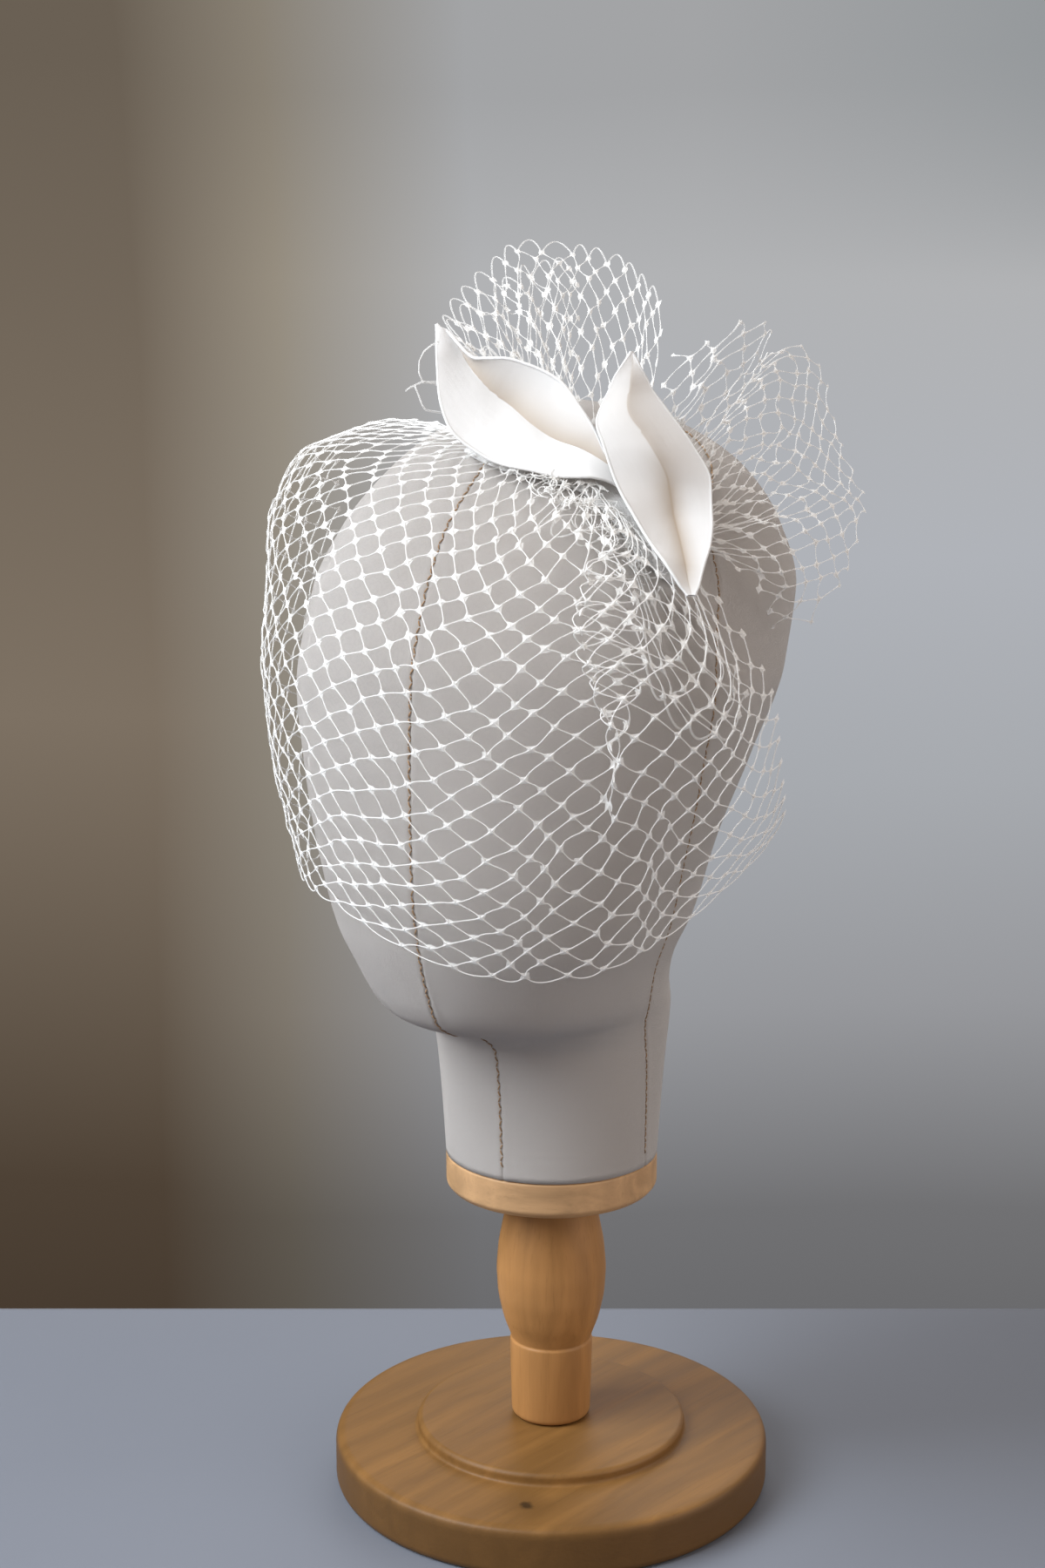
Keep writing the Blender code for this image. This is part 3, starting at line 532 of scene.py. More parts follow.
def put_mesh(name, points, groups, finish, slot, cloth_map=None):
    """Puts points (mm) and groups of polygons, each group an array of same-sided ones, into a new piece.
    cloth_map gives each point its place on the flat cloth, in millimetres."""
    mesh = bpy.data.meshes.new(name)
    corners = np.concatenate([group.ravel() for group in groups]).astype(np.int32)
    sides = np.concatenate([np.full(len(group), group.shape[1]) for group in groups])
    mesh.vertices.add(len(points))
    mesh.vertices.foreach_set("co", (points.reshape(-1, 3) * MM).ravel())
    mesh.loops.add(len(corners))
    mesh.loops.foreach_set("vertex_index", corners)
    mesh.polygons.add(len(sides))
    mesh.polygons.foreach_set("loop_start", (np.cumsum(sides) - sides).astype(np.int32))
    if cloth_map is not None:
        layer = mesh.uv_layers.new(name="cloth")
        layer.data.foreach_set("uv", cloth_map.reshape(-1, 2)[corners].ravel())
    mesh.update(calc_edges=True)
    mesh.polygons.foreach_set("use_smooth", sides > 3)
    mesh.materials.append(finish)
    piece = bpy.data.objects.new(name, mesh)
    bpy.context.scene.collection.objects.link(piece)
    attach(piece, "root")
    return piece


def sheet_faces(rows, columns, wrap=False):
    """Four-sided faces over a grid of points; wrap joins the last column to the first."""
    index = np.arange(rows * columns).reshape(rows, columns)
    after = np.roll(index, -1, 1)
    faces = np.stack([index[:-1], after[:-1], after[1:], index[1:]], -1)
    return (faces if wrap else faces[:, :-1]).reshape(-1, 4)


def put_turned(name, profile, rounds, finish, slot):
    """A turned piece: its outline, with each corner cut by a small arc, carried round the upright axis."""
    outline = rounded(np.array(profile, float), rounds)
    turn = np.linspace(0.0, 2 * np.pi, 128, endpoint=False)
    ring = outline[1:-1]
    points = np.stack(
        [
            ring[:, None, 0] * np.cos(turn),
            ring[:, None, 0] * np.sin(turn),
            np.broadcast_to(ring[:, None, 1], (len(ring), len(turn))),
        ],
        -1,
    ).reshape(-1, 3)
    ends = np.array([[0.0, 0.0, outline[0, 1]], [0.0, 0.0, outline[-1, 1]]])
    faces = sheet_faces(len(ring), len(turn), True)[:, ::-1]
    rim = np.arange(len(turn))
    after = np.roll(rim, -1)
    low = (len(ring) - 1) * len(turn)
    top = np.stack([np.full(len(turn), len(points)), rim, after], -1)
    under = np.stack([np.full(len(turn), len(points) + 1), low + after, low + rim], -1)
    return put_mesh(name, np.concatenate([points, ends]), [faces, top, under], finish, slot)


def rounded(outline, radius):
    """An open outline with each inner corner turned into a short quadratic arc of about the radius."""
    pieces = [outline[:1]]
    share = np.linspace(0.0, 1.0, 6)[:, None]
    for before, corner, after in zip(outline[:-2], outline[1:-1], outline[2:]):
        back, on = before - corner, after - corner
        reach = min(radius, 0.45 * np.linalg.norm(back), 0.45 * np.linalg.norm(on))
        start, end = corner + unit(back) * reach, corner + unit(on) * reach
        pieces.append((1 - share) ** 2 * start + 2 * share * (1 - share) * corner + share**2 * end)
    pieces.append(outline[-1:])
    return np.concatenate(pieces)


def thread_tubes(paths, radii, facing, sides):
    """Round threads: each path point gets a ring at its radius, square to the path, and each end a cap.
    The ring's point at angle t is radius * (cos t * up + sin t * side), side = run x facing."""
    run = unit(np.gradient(paths, axis=1))
    side = unit(np.cross(run, facing))
    up = np.cross(side, run)
    turn = np.linspace(0.0, 2 * np.pi, sides, endpoint=False)[:, None]
    around = np.cos(turn) * up[:, :, None] + np.sin(turn) * side[:, :, None]
    points = paths[:, :, None] + radii[..., None, None] * around
    index = np.arange(points.size // 3).reshape(points.shape[:3])
    after = np.roll(index, -1, 2)
    walls = np.stack([index[:, :-1], after[:, :-1], after[:, 1:], index[:, 1:]], -1).reshape(-1, 4)
    caps = np.concatenate([index[:, 0, ::-1], index[:, -1]])
    return points.reshape(-1, 3), [walls, caps]


def joined(*bodies):
    """Several bodies of points and polygon groups as one."""
    points, groups, start = [], [], 0
    for body_points, body_groups in bodies:
        points.append(body_points)
        groups += [group + start for group in body_groups]
        start += len(body_points)
    return np.concatenate(points), groups


def knot_pads(places, arms, facing, reach, waist, height):
    """Woven knots: a four-pointed star whose points run into the threads and whose sides curve in,
    domed to a low peak on both faces."""
    between = unit(arms + np.roll(arms, -1, 1)) * waist
    tips = arms * reach
    rim = np.stack([tips, between], 2).reshape(len(places), 8, 3) + places[:, None]
    peak = (places + facing * height)[:, None]
    pit = (places - facing * height)[:, None]
    points = np.concatenate([rim, peak, pit], 1)
    base = np.arange(len(places))[:, None] * 10
    ring = np.arange(8)
    after = (ring + 1) % 8
    over = np.stack([base + ring, base + after, base + 8 + 0 * ring], -1).reshape(-1, 3)
    below = np.stack([base + after, base + ring, base + 9 + 0 * ring], -1).reshape(-1, 3)
    return points.reshape(-1, 3), [over, below]


def march_rows(surface, columns, flat_edge):
    """Where the rows of knots fall on a strip. Half columns stand at even steps of length across it, taken
    at its free edge and higher up. From that edge each row lies a half cell nearer the gathers: the half
    cell's height is the root of the thread's length squared less its half width squared, so that every
    thread keeps its length, but never less than a floor. The first row lies close to the edge, which
    pulls the last loops almost flat."""
    side = bpy.context.scene.veil_sizes.cell_side / MM
    fine = np.linspace(0.0, 1.0, 1601)
    steps = [np.linalg.norm(np.diff(surface(fine, 0 * fine + level), axis=0), axis=-1) for level in (1.0, 0.6, 0.4)]
    reached = np.concatenate([[0.0], np.cumsum(sum(steps))])
    across = np.interp(np.linspace(0.0, reached[-1], columns + 1), reached, fine)
    down = np.ones(columns + 1)
    reach = min(8, columns // 2)
    spread = np.exp(-(np.arange(-reach, reach + 1) ** 2) / 18.0)
    weight = np.convolve(np.ones(columns + 1), spread, "same")
    rows = [down]
    while len(rows) < 60 and (down > 0.0).any():
        here = surface(across, down)
        length = np.linalg.norm(here - surface(across, down - 0.004), axis=-1) / 0.004
        apart = np.linalg.norm(np.diff(here, axis=0), axis=-1)
        width = np.concatenate([apart[:1], (apart[1:] + apart[:-1]) / 2, apart[-1:]])
        floor = side * (0.34 + 0.28 * ease((1 - down) / 0.22))
        height = np.sqrt(np.maximum(side**2 - width**2, floor**2)) * (flat_edge if len(rows) == 1 else 1.0)
        height = np.convolve(height, spread, "same") / weight
        down = down - height / np.maximum(length, 20.0)
        rows.append(down)
    return across, np.array(rows)


def net_body(surface, columns, thread, knot, loops, doubled=False, stray=1.0, seed=SEED, flat_edge=1.0):
    """Net over a surface: knots where row plus half column is even, a thread from each knot to the next
    row's knots on both sides, and a round loop or a knotted point along the free edge. A doubled thread is
    two fine ones that lie beside each other and cross halfway. Also gives the number of knots."""
    random = np.random.default_rng(seed)
    across, rows = march_rows(surface, columns, flat_edge)
    count = len(rows)
    row, column = np.meshgrid(np.arange(count), np.arange(columns + 1), indexing="ij")
    slow = np.sin(row * 0.7 + column * 0.45) + np.sin(row * 0.31 - column * 0.83 + 2.0)
    step = np.gradient(across)
    sideways = np.broadcast_to(across, rows.shape) + step * stray * (
        0.09 * slow + 0.10 * random.standard_normal(rows.shape)
    )
    sideways = np.clip(sideways, 0.0, 1.0)
    sideways[:, 0], sideways[:, -1] = across[0], across[-1]
    half = np.abs(np.gradient(rows, axis=0))
    down = rows + half * stray * (0.07 * slow + 0.09 * random.standard_normal(rows.shape)) * (row > 0)
    down = np.clip(down, 0.0, 1.0)
    places = surface(sideways, down)
    knotted = (row + column) % 2 == 0
    kept = knotted & (rows > 0.0)
    ahead = np.roll(places, -1, 1) - np.roll(places, 1, 1)
    ahead[:, 0], ahead[:, -1] = places[:, 1] - places[:, 0], places[:, -1] - places[:, -2]
    upward = np.gradient(places, axis=0)
    facing = unit(np.cross(ahead, upward))
    # Threads, from each knot to both knots of the next row.
    lists = []
    for lean in (1, -1):
        r, c = np.nonzero(kept & (row < count - 1) & (column + lean >= 0) & (column + lean <= columns))
        if loops:
            r, c = r[r > 0], c[r > 0]
        lists.append((r, c, r + 1, c + lean))
    r0, c0, r1, c1 = [np.concatenate(group) for group in zip(*lists)]
    share = np.array([0.0, 0.08, 0.26, 0.5, 0.74, 0.92, 1.0])
    a = sideways[r0, c0][:, None] * (1 - share) + sideways[r1, c1][:, None] * share
    b = down[r0, c0][:, None] * (1 - share) + down[r1, c1][:, None] * share
    paths = surface(a, b)
    plane = facing[r0, c0][:, None] + 0 * paths
    bow = 0.22 * (c1 - c0) + 0.3 * random.standard_normal(len(r0))
    lift = 0.25 * random.standard_normal(len(r0))
    swing = np.sin(np.pi * share) * (1 + 0.5 * np.sin(2 * np.pi * share))
    paths = paths + unit(np.cross(plane, unit(np.gradient(paths, axis=1)))) * (bow[:, None] * swing)[..., None]
    paths = paths + plane * (lift[:, None] * np.sin(np.pi * share))[..., None]
    from_end = np.minimum(share, 1 - share)
    radii = thread / 2 * (1 + 1.1 * np.exp(-((from_end / 0.1) ** 2))) * np.ones((len(r0), 1))
    beside = unit(np.cross(plane, unit(np.gradient(paths, axis=1)))) * np.cos(np.pi * share)[:, None] * thread * 0.55
    strands = [(paths + beside, radii * 0.66), (paths - beside, radii * 0.66)] if doubled else [(paths, radii)]
    bodies = [thread_tubes(strand, round_radii, plane, 5) for strand, round_radii in strands]
    # The free edge: a loop over each half cell, from one first-row knot to the next.
    if loops:
        r, c = np.nonzero(knotted & (row == 0) & (column > 0) & (column < columns))
        left, middle, right = places[1, c - 1], places[0, c], places[1, c + 1]
        bend = np.linspace(0.0, 1.0, 11)[None, :, None]
        top = 2 * middle - (left + right) / 2
        curve = (
            (1 - bend) ** 2 * left[:, None]
            + 2 * bend * (1 - bend) * top[:, None]
            + bend**2 * right[:, None]
        )
        loop_plane = facing[r, c][:, None] + 0 * curve
        for sense in (1, -1)[: 1 + doubled]:
            away = unit(np.cross(loop_plane, unit(np.gradient(curve, axis=1)))) * thread * 0.5 * doubled * sense
            radii = np.full(curve.shape[:2], thread / 2 * (0.66 if doubled else 1.0))
            bodies.append(thread_tubes(curve + away, radii, loop_plane, 5))
    # Knots, with arms towards the four knots around them.
    show = kept & (row > 0) if loops else kept
    r, c = np.nonzero(show)
    arms = []
    for up, out in ((1, 1), (1, -1), (-1, -1), (-1, 1)):
        rr, cc = r + up, c + out
        inside = (rr >= 0) & (rr < count) & (cc >= 0) & (cc <= columns)
        aim_to = places[np.where(inside, rr, r - up).clip(0, count - 1), np.where(inside, cc, c - out).clip(0, columns)]
        arm = (aim_to - places[r, c]) * np.where(inside, 1.0, -1.0)[:, None]
        arms.append(unit(arm))
    arms = np.stack(arms, 1)
    size = knot * random.uniform(0.88, 1.12, (len(r), 1, 1)) * np.where(r == 0, 0.6, 1.0)[:, None, None]
    bodies.append(knot_pads(places[r, c], arms, facing[r, c], size * 0.68, size * 0.42, thread * 0.8))
    return *joined(*bodies), len(r)


def stray_body(count, thread, seed):
    """Stray loops of gathered net along the gather line: parts of a slightly squeezed circle, thrown
    about by a seeded draw, and never nearer the head than the pad's top."""
    random = np.random.default_rng(seed)
    along = random.uniform(0.50, 0.95, count)
    ahead = -random.uniform(4.0, 14.0, count)
    centre = on_pad(along, ahead, random.uniform(4.0, 6.5, count))
    out = unit(centre - HEAD_MIDDLE)
    first = unit(np.cross(out, random.standard_normal((count, 3))))
    second = np.cross(out, first)
    radius = random.uniform(2.2, 6.0, count)[:, None, None]
    start = random.uniform(0, 2 * np.pi, count)[:, None]
    turn = (start + np.linspace(0.0, 1.0, 10) * random.uniform(1.4, 3.6, count)[:, None])[..., None]
    squeeze = random.uniform(0.5, 1.0, count)[:, None, None]
    paths = centre[:, None] + radius * (np.cos(turn) * first[:, None] + squeeze * np.sin(turn) * second[:, None])
    paths = paths + out[:, None] * np.sin(turn * 1.3 + 1.0) * random.uniform(0.1, 0.7, count)[:, None, None]
    reach = np.linalg.norm(paths - HEAD_MIDDLE, axis=-1)
    least = head_reach(unit(paths - HEAD_MIDDLE)) + 3.2
    paths = HEAD_MIDDLE + unit(paths - HEAD_MIDDLE) * np.maximum(reach, least)[..., None]
    return thread_tubes(paths, np.full(paths.shape[:2], thread / 2), out[:, None] + 0 * paths, 5)


def heading_surface(share, fall):
    """The gathered heading: net that turns back over the veil below the gather line in soft waves. It
    grows wider towards the fold in front, under the second leaf."""
    along = 0.38 + 0.60 * share
    broad = 8.0 + 20.0 * np.exp(-(((share - 0.62) / 0.2) ** 2))
    wave = np.sin(2 * np.pi * 13 * share + 2.0 * np.sin(2 * np.pi * 2.3 * share))
    stand = 4.6 + 1.4 * fall + 1.5 * fall * wave
    return on_pad(along, 1.0 - broad * fall + 1.5 * np.sin(2 * np.pi * 5 * share) * fall, stand)


class Wire:
    """A value inside a material. Arithmetic on it adds the Math node that works it out."""

    def __init__(self, paint, socket):
        self.paint = paint
        self.socket = socket

    def math(self, operation, first, second=0.0, third=0.0):
        return self.paint.node("ShaderNodeMath", {"operation": operation}, [first, second, third])

    def __add__(self, other):
        return self.math("ADD", self, other)

    def __sub__(self, other):
        return self.math("SUBTRACT", self, other)

    def __rsub__(self, other):
        return self.math("SUBTRACT", other, self)

    def __mul__(self, other):
        return self.math("MULTIPLY", self, other)

    def __truediv__(self, other):
        return self.math("DIVIDE", self, other)

    def __pow__(self, other):
        return self.math("POWER", self, other)

    __radd__ = __add__
    __rmul__ = __mul__

    def sine(self):
        return self.math("SINE", self)

    def size(self):
        return self.math("ABSOLUTE", self)

    def clipped(self):
        return self.math("MAXIMUM", self.math("MINIMUM", self, 1.0), 0.0)

    def spread(self, low, high):
        """0 below low, 1 above high and straight between."""
        return ((self - low) / (high - low)).clipped()


class Paint:
    """A material under construction. Constants go on the shader's own sockets."""

    def __init__(self, name, **constants):
        self.material = bpy.data.materials.new(name)
        self.material.use_nodes = True
        self.tree = self.material.node_tree
        self.shader = self.tree.nodes["Principled BSDF"]
        sockets = {socket.name.lower().replace(" ", "_"): socket for socket in self.shader.inputs}
        for label, value in constants.items():
            sockets[label].default_value = value

    def node(self, kind, settings=None, values=(), output=0):
        """Adds a node: its settings first, then values or links on its sockets, by place or by name."""
        node = self.tree.nodes.new(kind)
        for label, value in (settings or {}).items():
            if label == "stops":
                ramp = node.color_ramp.elements
                while len(ramp) < len(value):
                    ramp.new(1.0)
                for element, (place, colour) in zip(ramp, value):
                    element.position = place
                    element.color = colour
            else:
                setattr(node, label, value)
        for label, value in values.items() if isinstance(values, dict) else enumerate(values):
            self.feed(self.found(node.inputs, label), value)
        return Wire(self, self.found(node.outputs, output))

    def found(self, sockets, label):
        """A socket by its place in the list, or by its own name."""
        return next(s for i, s in enumerate(sockets) if label in (i, s.identifier, s.name))

    def feed(self, socket, value):
        if isinstance(value, Wire):
            self.tree.links.new(value.socket, socket)
        else:
            socket.default_value = value

    def object_place(self, scale=(1.0, 1.0, 1.0), rotation=(0.0, 0.0, 0.0), location=(0.0, 0.0, 0.0)):
        place = self.node("ShaderNodeTexCoord", output="Object")
        return self.node("ShaderNodeMapping", {}, {"Vector": place, "Location": location,
                                                   "Rotation": rotation, "Scale": scale})

    def cloth_place(self):
        """The place on the flat cloth, in millimetres: along and across."""
        both = self.node("ShaderNodeUVMap", {"uv_map": "cloth"})
        return both, self.axis(both, 0), self.axis(both, 1)

    def axis(self, vector, number):
        return self.node("ShaderNodeSeparateXYZ", {}, [vector], number)

    def noise(self, place, scale, detail=2.0, roughness=0.5, distortion=0.0):
        return self.node(
            "ShaderNodeTexNoise",
            {},
            {"Vector": place, "Scale": scale, "Detail": detail, "Roughness": roughness, "Distortion": distortion},
        )

    def blend(self, share, first, second, how="MIX"):
        """One colour over another by a share from 0 to 1."""
        return self.node(
            "ShaderNodeMix",
            {"data_type": "RGBA", "blend_type": how},
            {"Factor_Float": share, "A_Color": first, "B_Color": second},
            "Result_Color",
        )

    def finish(self, colour=None, roughness=None, height=None, depth=0.001, strength=1.0):
        """Joins colour, roughness and relief to the shader; depth is the relief's height in metres."""
        for label, value in (("Base Color", colour), ("Roughness", roughness)):
            if value is not None:
                self.feed(self.shader.inputs[label], value)
        if height is not None:
            bump = self.node(
                "ShaderNodeBump", {}, {"Strength": strength, "Distance": depth, "Height": height}
            )
            self.feed(self.shader.inputs["Normal"], bump)
        return self.material


def shade(red, green, blue):
    """A colour as a paint chart gives it, from 0 to 255, as the linear one that a shader takes."""
    share = np.array([red, green, blue]) / 255.0
    linear = np.where(share < 0.04045, share / 12.92, ((share + 0.055) / 1.055) ** 2.4)
    return (*linear.tolist(), 1.0)


def deeper(colour, factor):
    """The same colour, darker or lighter by a factor."""
    return (*(np.array(colour[:3]) * factor).tolist(), 1.0)


def wood_finish(name, colour, heading, knot=None, edge=0.0):
    """Waxed wood: long streaks along the grain from noise that is stretched along it, rings from a wave
    that noise bends, fine dark pores, and where the table gives one, a knot with the grain bent round it.
    Below the edge's height the side is painted darker: painted shade."""
    colour = (*colour, 1.0)
    paint = Paint(name, coat_weight=0.02, coat_roughness=0.35, specular_ior_level=0.22)
    turned_to_grain = paint.object_place(rotation=heading)
    stretched = paint.node("ShaderNodeMapping", {}, {"Vector": turned_to_grain, "Scale": (6.0, 90.0, 90.0)})
    fine = paint.node("ShaderNodeMapping", {}, {"Vector": turned_to_grain, "Scale": (40.0, 900.0, 900.0)})
    streaks = paint.noise(stretched, 1.0, 4.0, 0.6, 0.6)
    fibres = paint.noise(fine, 1.0, 3.0, 0.65)
    broad = paint.noise(paint.node("ShaderNodeMapping", {}, {"Vector": turned_to_grain, "Scale": (3.0, 22.0, 22.0)}), 1.0, 2.0)
    rings = paint.node(
        "ShaderNodeTexWave",
        {"wave_type": "BANDS", "bands_direction": "Y"},
        {"Vector": turned_to_grain, "Scale": 26.0, "Distortion": 9.0, "Detail": 3.0, "Detail Scale": 0.6},
        1,
    )
    tone = paint.blend(streaks.spread(0.3, 0.72), deeper(colour, 0.7), deeper(colour, 1.22))
    tone = paint.blend(broad.spread(0.35, 0.7) * 0.5, tone, deeper(colour, 0.78))
    tone = paint.blend(rings.spread(0.55, 1.0) * 0.28, tone, deeper(colour, 0.62))
    tone = paint.blend(fibres.spread(0.56, 0.76) * 0.4, tone, deeper(colour, 0.5))
    relief = fibres * 0.5 + streaks * 0.5
    if knot is not None:
        spot = paint.object_place(location=[-value for value in knot])
        away = paint.node("ShaderNodeVectorMath", {"operation": "LENGTH"}, [spot], "Value")
        ragged = away + (paint.noise(turned_to_grain, 300.0) - 0.5) * 0.003
        tone = paint.blend((1 - ragged.spread(0.003, 0.011)) * 0.55, tone, deeper(colour, 0.55))
        tone = paint.blend((1 - ragged.spread(0.0012, 0.003)) * 0.9, tone, deeper(colour, 0.16))
        relief = relief - (1 - ragged.spread(0.0012, 0.0026))
    # Painted shade: the side below the edge is darker than the top.
    if edge:
        high = paint.axis(paint.object_place(), 2)
        tone = paint.blend((1 - high.spread(edge - 0.0015, edge + 0.0005)) * 0.7, tone, deeper(colour, 0.45))
    rough = 0.42 + streaks * 0.16
    return paint.finish(tone, rough, relief, 0.0002, 0.6)


def linen_finish(name, colour, pitch=0.55):
    """Plain weave on the flat cloth's own map: warp and weft as two sines that pass over each other by
    turns, uneven threads and slubs from noise that is stretched along each thread."""
    paint = Paint(name, specular_ior_level=0.2, sheen_weight=0.25, sheen_roughness=0.5)
    colour = (*colour, 1.0)
    both, across, along = paint.cloth_place()
    turns = 2 * np.pi / (2 * pitch)
    wander = (paint.noise(both, 0.12, 2.0) - 0.5) * 1.2
    warp = ((across + wander) * turns).sine()
    weft = ((along + wander) * turns).sine()
    weave = (warp * weft) * 0.5 + 0.5
    gaps = (1 - warp.size()) * (1 - weft.size())
    long_way = paint.node("ShaderNodeMapping", {}, {"Vector": both, "Scale": (2.2, 0.06, 1.0)})
    cross_way = paint.node("ShaderNodeMapping", {}, {"Vector": both, "Scale": (0.06, 2.2, 1.0)})
    slubs = paint.noise(long_way, 1.0, 3.0, 0.6) * 0.5 + paint.noise(cross_way, 1.0, 3.0, 0.6) * 0.5
    wide_long = paint.node("ShaderNodeMapping", {}, {"Vector": both, "Scale": (0.8, 0.02, 1.0)})
    wide_cross = paint.node("ShaderNodeMapping", {}, {"Vector": both, "Scale": (0.02, 0.8, 1.0)})
    bands = paint.noise(wide_long, 1.0, 2.0, 0.7).spread(0.42, 0.6) * 0.5
    bands = bands + paint.noise(wide_cross, 1.0, 2.0, 0.7).spread(0.42, 0.6) * 0.5
    cloud = paint.noise(both, 0.03, 3.0)
    tone = paint.blend(slubs.spread(0.36, 0.64), deeper(colour, 0.74), deeper(colour, 1.12))
    tone = paint.blend(bands * 0.8, tone, deeper(colour, 0.82))
    tone = paint.blend(cloud.spread(0.35, 0.65) * 0.3, tone, deeper(colour, 0.9))
    tone = paint.blend(gaps.spread(0.2, 0.8) * 0.5, tone, deeper(colour, 0.55))
    relief = weave * 0.5 + slubs.spread(0.3, 0.7) * 0.9 + bands * 0.5
    return paint.finish(tone, 0.86 + slubs * 0.1, relief, 0.0003, 0.9)


def net_finish(name, colour):
    """Twisted rayon thread: a fine twist and uneven tone along it, and a faint painted glow by emission that stands in
    for light scattered inside it.
    """
    colour = (*colour, 1.0)
    # The emission is a painted glow: the thread gives off light of its own.
    paint = Paint(name, roughness=0.5, specular_ior_level=0.45, sheen_weight=0.2, sheen_roughness=0.4,
                  emission_strength=0.07, emission_color=(1.0, 0.99, 0.97, 1.0))
    place = paint.object_place()
    cloud = paint.noise(place, 60.0, 2.0)
    twist = paint.noise(place, 2600.0, 2.0)
    tone = paint.blend(cloud.spread(0.35, 0.65) * 0.4, colour, deeper(colour, 0.86))
    tone = paint.blend(twist.spread(0.4, 0.7) * 0.2, tone, deeper(colour, 0.8))
    return paint.finish(tone, 0.45 + twist * 0.2, twist, 0.0001, 0.4)


def satin_finish(name, colour, folds):
    """Duchess satin: a tight diagonal of floats, a soft broken sheen and a few faint creases. Beside its
    folds the colour is painted darker and warmer: painted shade, tinted like light bounced inside them,
    full at near and gone at far, both in millimetres off the fold, between a start and an end along the leaf."""
    colour = (*colour, 1.0)
    paint = Paint(name, specular_ior_level=0.3, sheen_weight=0.12, sheen_roughness=0.35)
    both, across, along = paint.cloth_place()
    floats = ((across + along) * (2 * np.pi / 0.32)).sine() * 0.5 + 0.5
    threads = (across * (2 * np.pi / 0.2)).sine() * 0.5 + 0.5
    cloud = paint.noise(both, 0.09, 3.0)
    long_way = paint.node("ShaderNodeMapping", {}, {"Vector": both, "Scale": (0.5, 0.05, 1.0)})
    pulls = paint.noise(long_way, 1.0, 3.0)
    tone = paint.blend(cloud.spread(0.3, 0.7) * 0.35, colour, deeper(colour, 0.93))
    # Painted shade: the colour beside each fold is darkened and warmed towards this tone.
    painted_warm_shade = (colour[0] * 0.60, colour[1] * 0.50, colour[2] * 0.40, 1.0)
    for near, far, start, end, warmth in folds:
        inside = along.spread(start - 6.0, start + 8.0) * (1 - along.spread(end - 8.0, end + 4.0))
        toward = 1.0 if far > near else -1.0
        away = (across - near) * toward
        beside = (1 - away.spread(0.0, abs(far - near))) * away.spread(-0.5, 0.1)
        tone = paint.blend(beside * beside * inside * warmth, tone, painted_warm_shade)
    relief = floats * 0.25 + threads * 0.12 + pulls * 0.8
    rough = 0.44 + cloud * 0.12 + floats * 0.03
    return paint.finish(tone, rough, relief, 0.00022, 0.5)


class VeilSizes(PropertyGroup):
    """The net's sizes."""

    cell_side: FloatProperty(
        name="Cell side", description="Length of thread between two knots", default=0.008, unit="LENGTH"
    )
    thread: FloatProperty(name="Thread", description="Thickness of the net's thread", default=0.00044, unit="LENGTH")
    knot: FloatProperty(name="Knot", description="Side of a woven knot", default=0.0028, unit="LENGTH")
    half_columns: IntProperty(
        name="Half columns", description="Half cells across the veil's strip", default=52, min=20, max=90
    )
    top_columns: IntProperty(name="Top ruffle", description="Half cells along the top ruffle", default=38)
    side_columns: IntProperty(name="Side ruffle", description="Half cells along the side ruffle", default=38)
    stray_loops: IntProperty(name="Stray loops", description="Loose loops along the gathers", default=70)


class VeilColours(PropertyGroup):
    """The finishes' colours."""

    net: FloatVectorProperty(name="Net", description="Thread", subtype="COLOR", default=(0.95, 0.95, 0.94))
    satin: FloatVectorProperty(name="Satin", description="Leaves", subtype="COLOR", default=(0.73, 0.72, 0.71))
    linen: FloatVectorProperty(
        name="Linen", description="The head's cover", subtype="COLOR", default=(0.785, 0.725, 0.68)
    )
    wood: FloatVectorProperty(
        name="Wood", description="The foot", subtype="COLOR", default=(0.198, 0.096, 0.027)
    )
    plate_wood: FloatVectorProperty(
        name="Plate", description="Paler neck plate", subtype="COLOR", default=(0.50, 0.30, 0.15)
    )
    post_wood: FloatVectorProperty(
        name="Post", description="The turned post", subtype="COLOR", default=(0.40, 0.195, 0.065)
    )
    stitch: FloatVectorProperty(
        name="Stitches", description="Thread along the head's seams", subtype="COLOR", default=(0.33, 0.2, 0.1)
    )


def grid_normals(points):
    """Unit normals of a grid of points: rows cross columns."""
    return unit(np.cross(np.gradient(points, axis=0), np.gradient(points, axis=1)))


def walled(points, wall):
    """A closed body from a grid of middle points: half the wall goes to each side along the normals,
    and a rim joins the two faces."""
    facing = grid_normals(points)
    rows, columns = points.shape[:2]
    both = np.concatenate([points + facing * wall / 2, points - facing * wall / 2]).reshape(-1, 3)
    upper = sheet_faces(rows, columns)
    count = rows * columns
    index = np.arange(count).reshape(rows, columns)
    edge = np.concatenate([index[0, :-1], index[:-1, -1], index[-1, :0:-1], index[:0:-1, 0]])
    after = np.roll(edge, -1)
    rim = np.stack([edge, edge + count, after + count, after], -1)
    return both, [upper[:, ::-1], upper + count, rim]


def flat_map(points, zero):
    """Where each point of a grid lies on the flat cloth: lengths summed along the rows, from the column
    that zero names in each, and down the columns."""
    step_a = np.linalg.norm(np.diff(points, axis=0), axis=-1)
    step_b = np.linalg.norm(np.diff(points, axis=1), axis=-1)
    along = np.concatenate([np.zeros((1, points.shape[1])), np.cumsum(step_a, 0)])
    across = np.concatenate([np.zeros((points.shape[0], 1)), np.cumsum(step_b, 1)], 1)
    return np.stack([across - np.take_along_axis(across, zero, 1), np.broadcast_to(along.mean(1, keepdims=True), along.shape)], -1)


def cloth_area(piece):
    """Half the piece's surface, in square metres: a wall or a thread has two sides."""
    areas = np.empty(len(piece.data.polygons))
    piece.data.polygons.foreach_get("area", areas)
    return float(areas.sum() / 2)


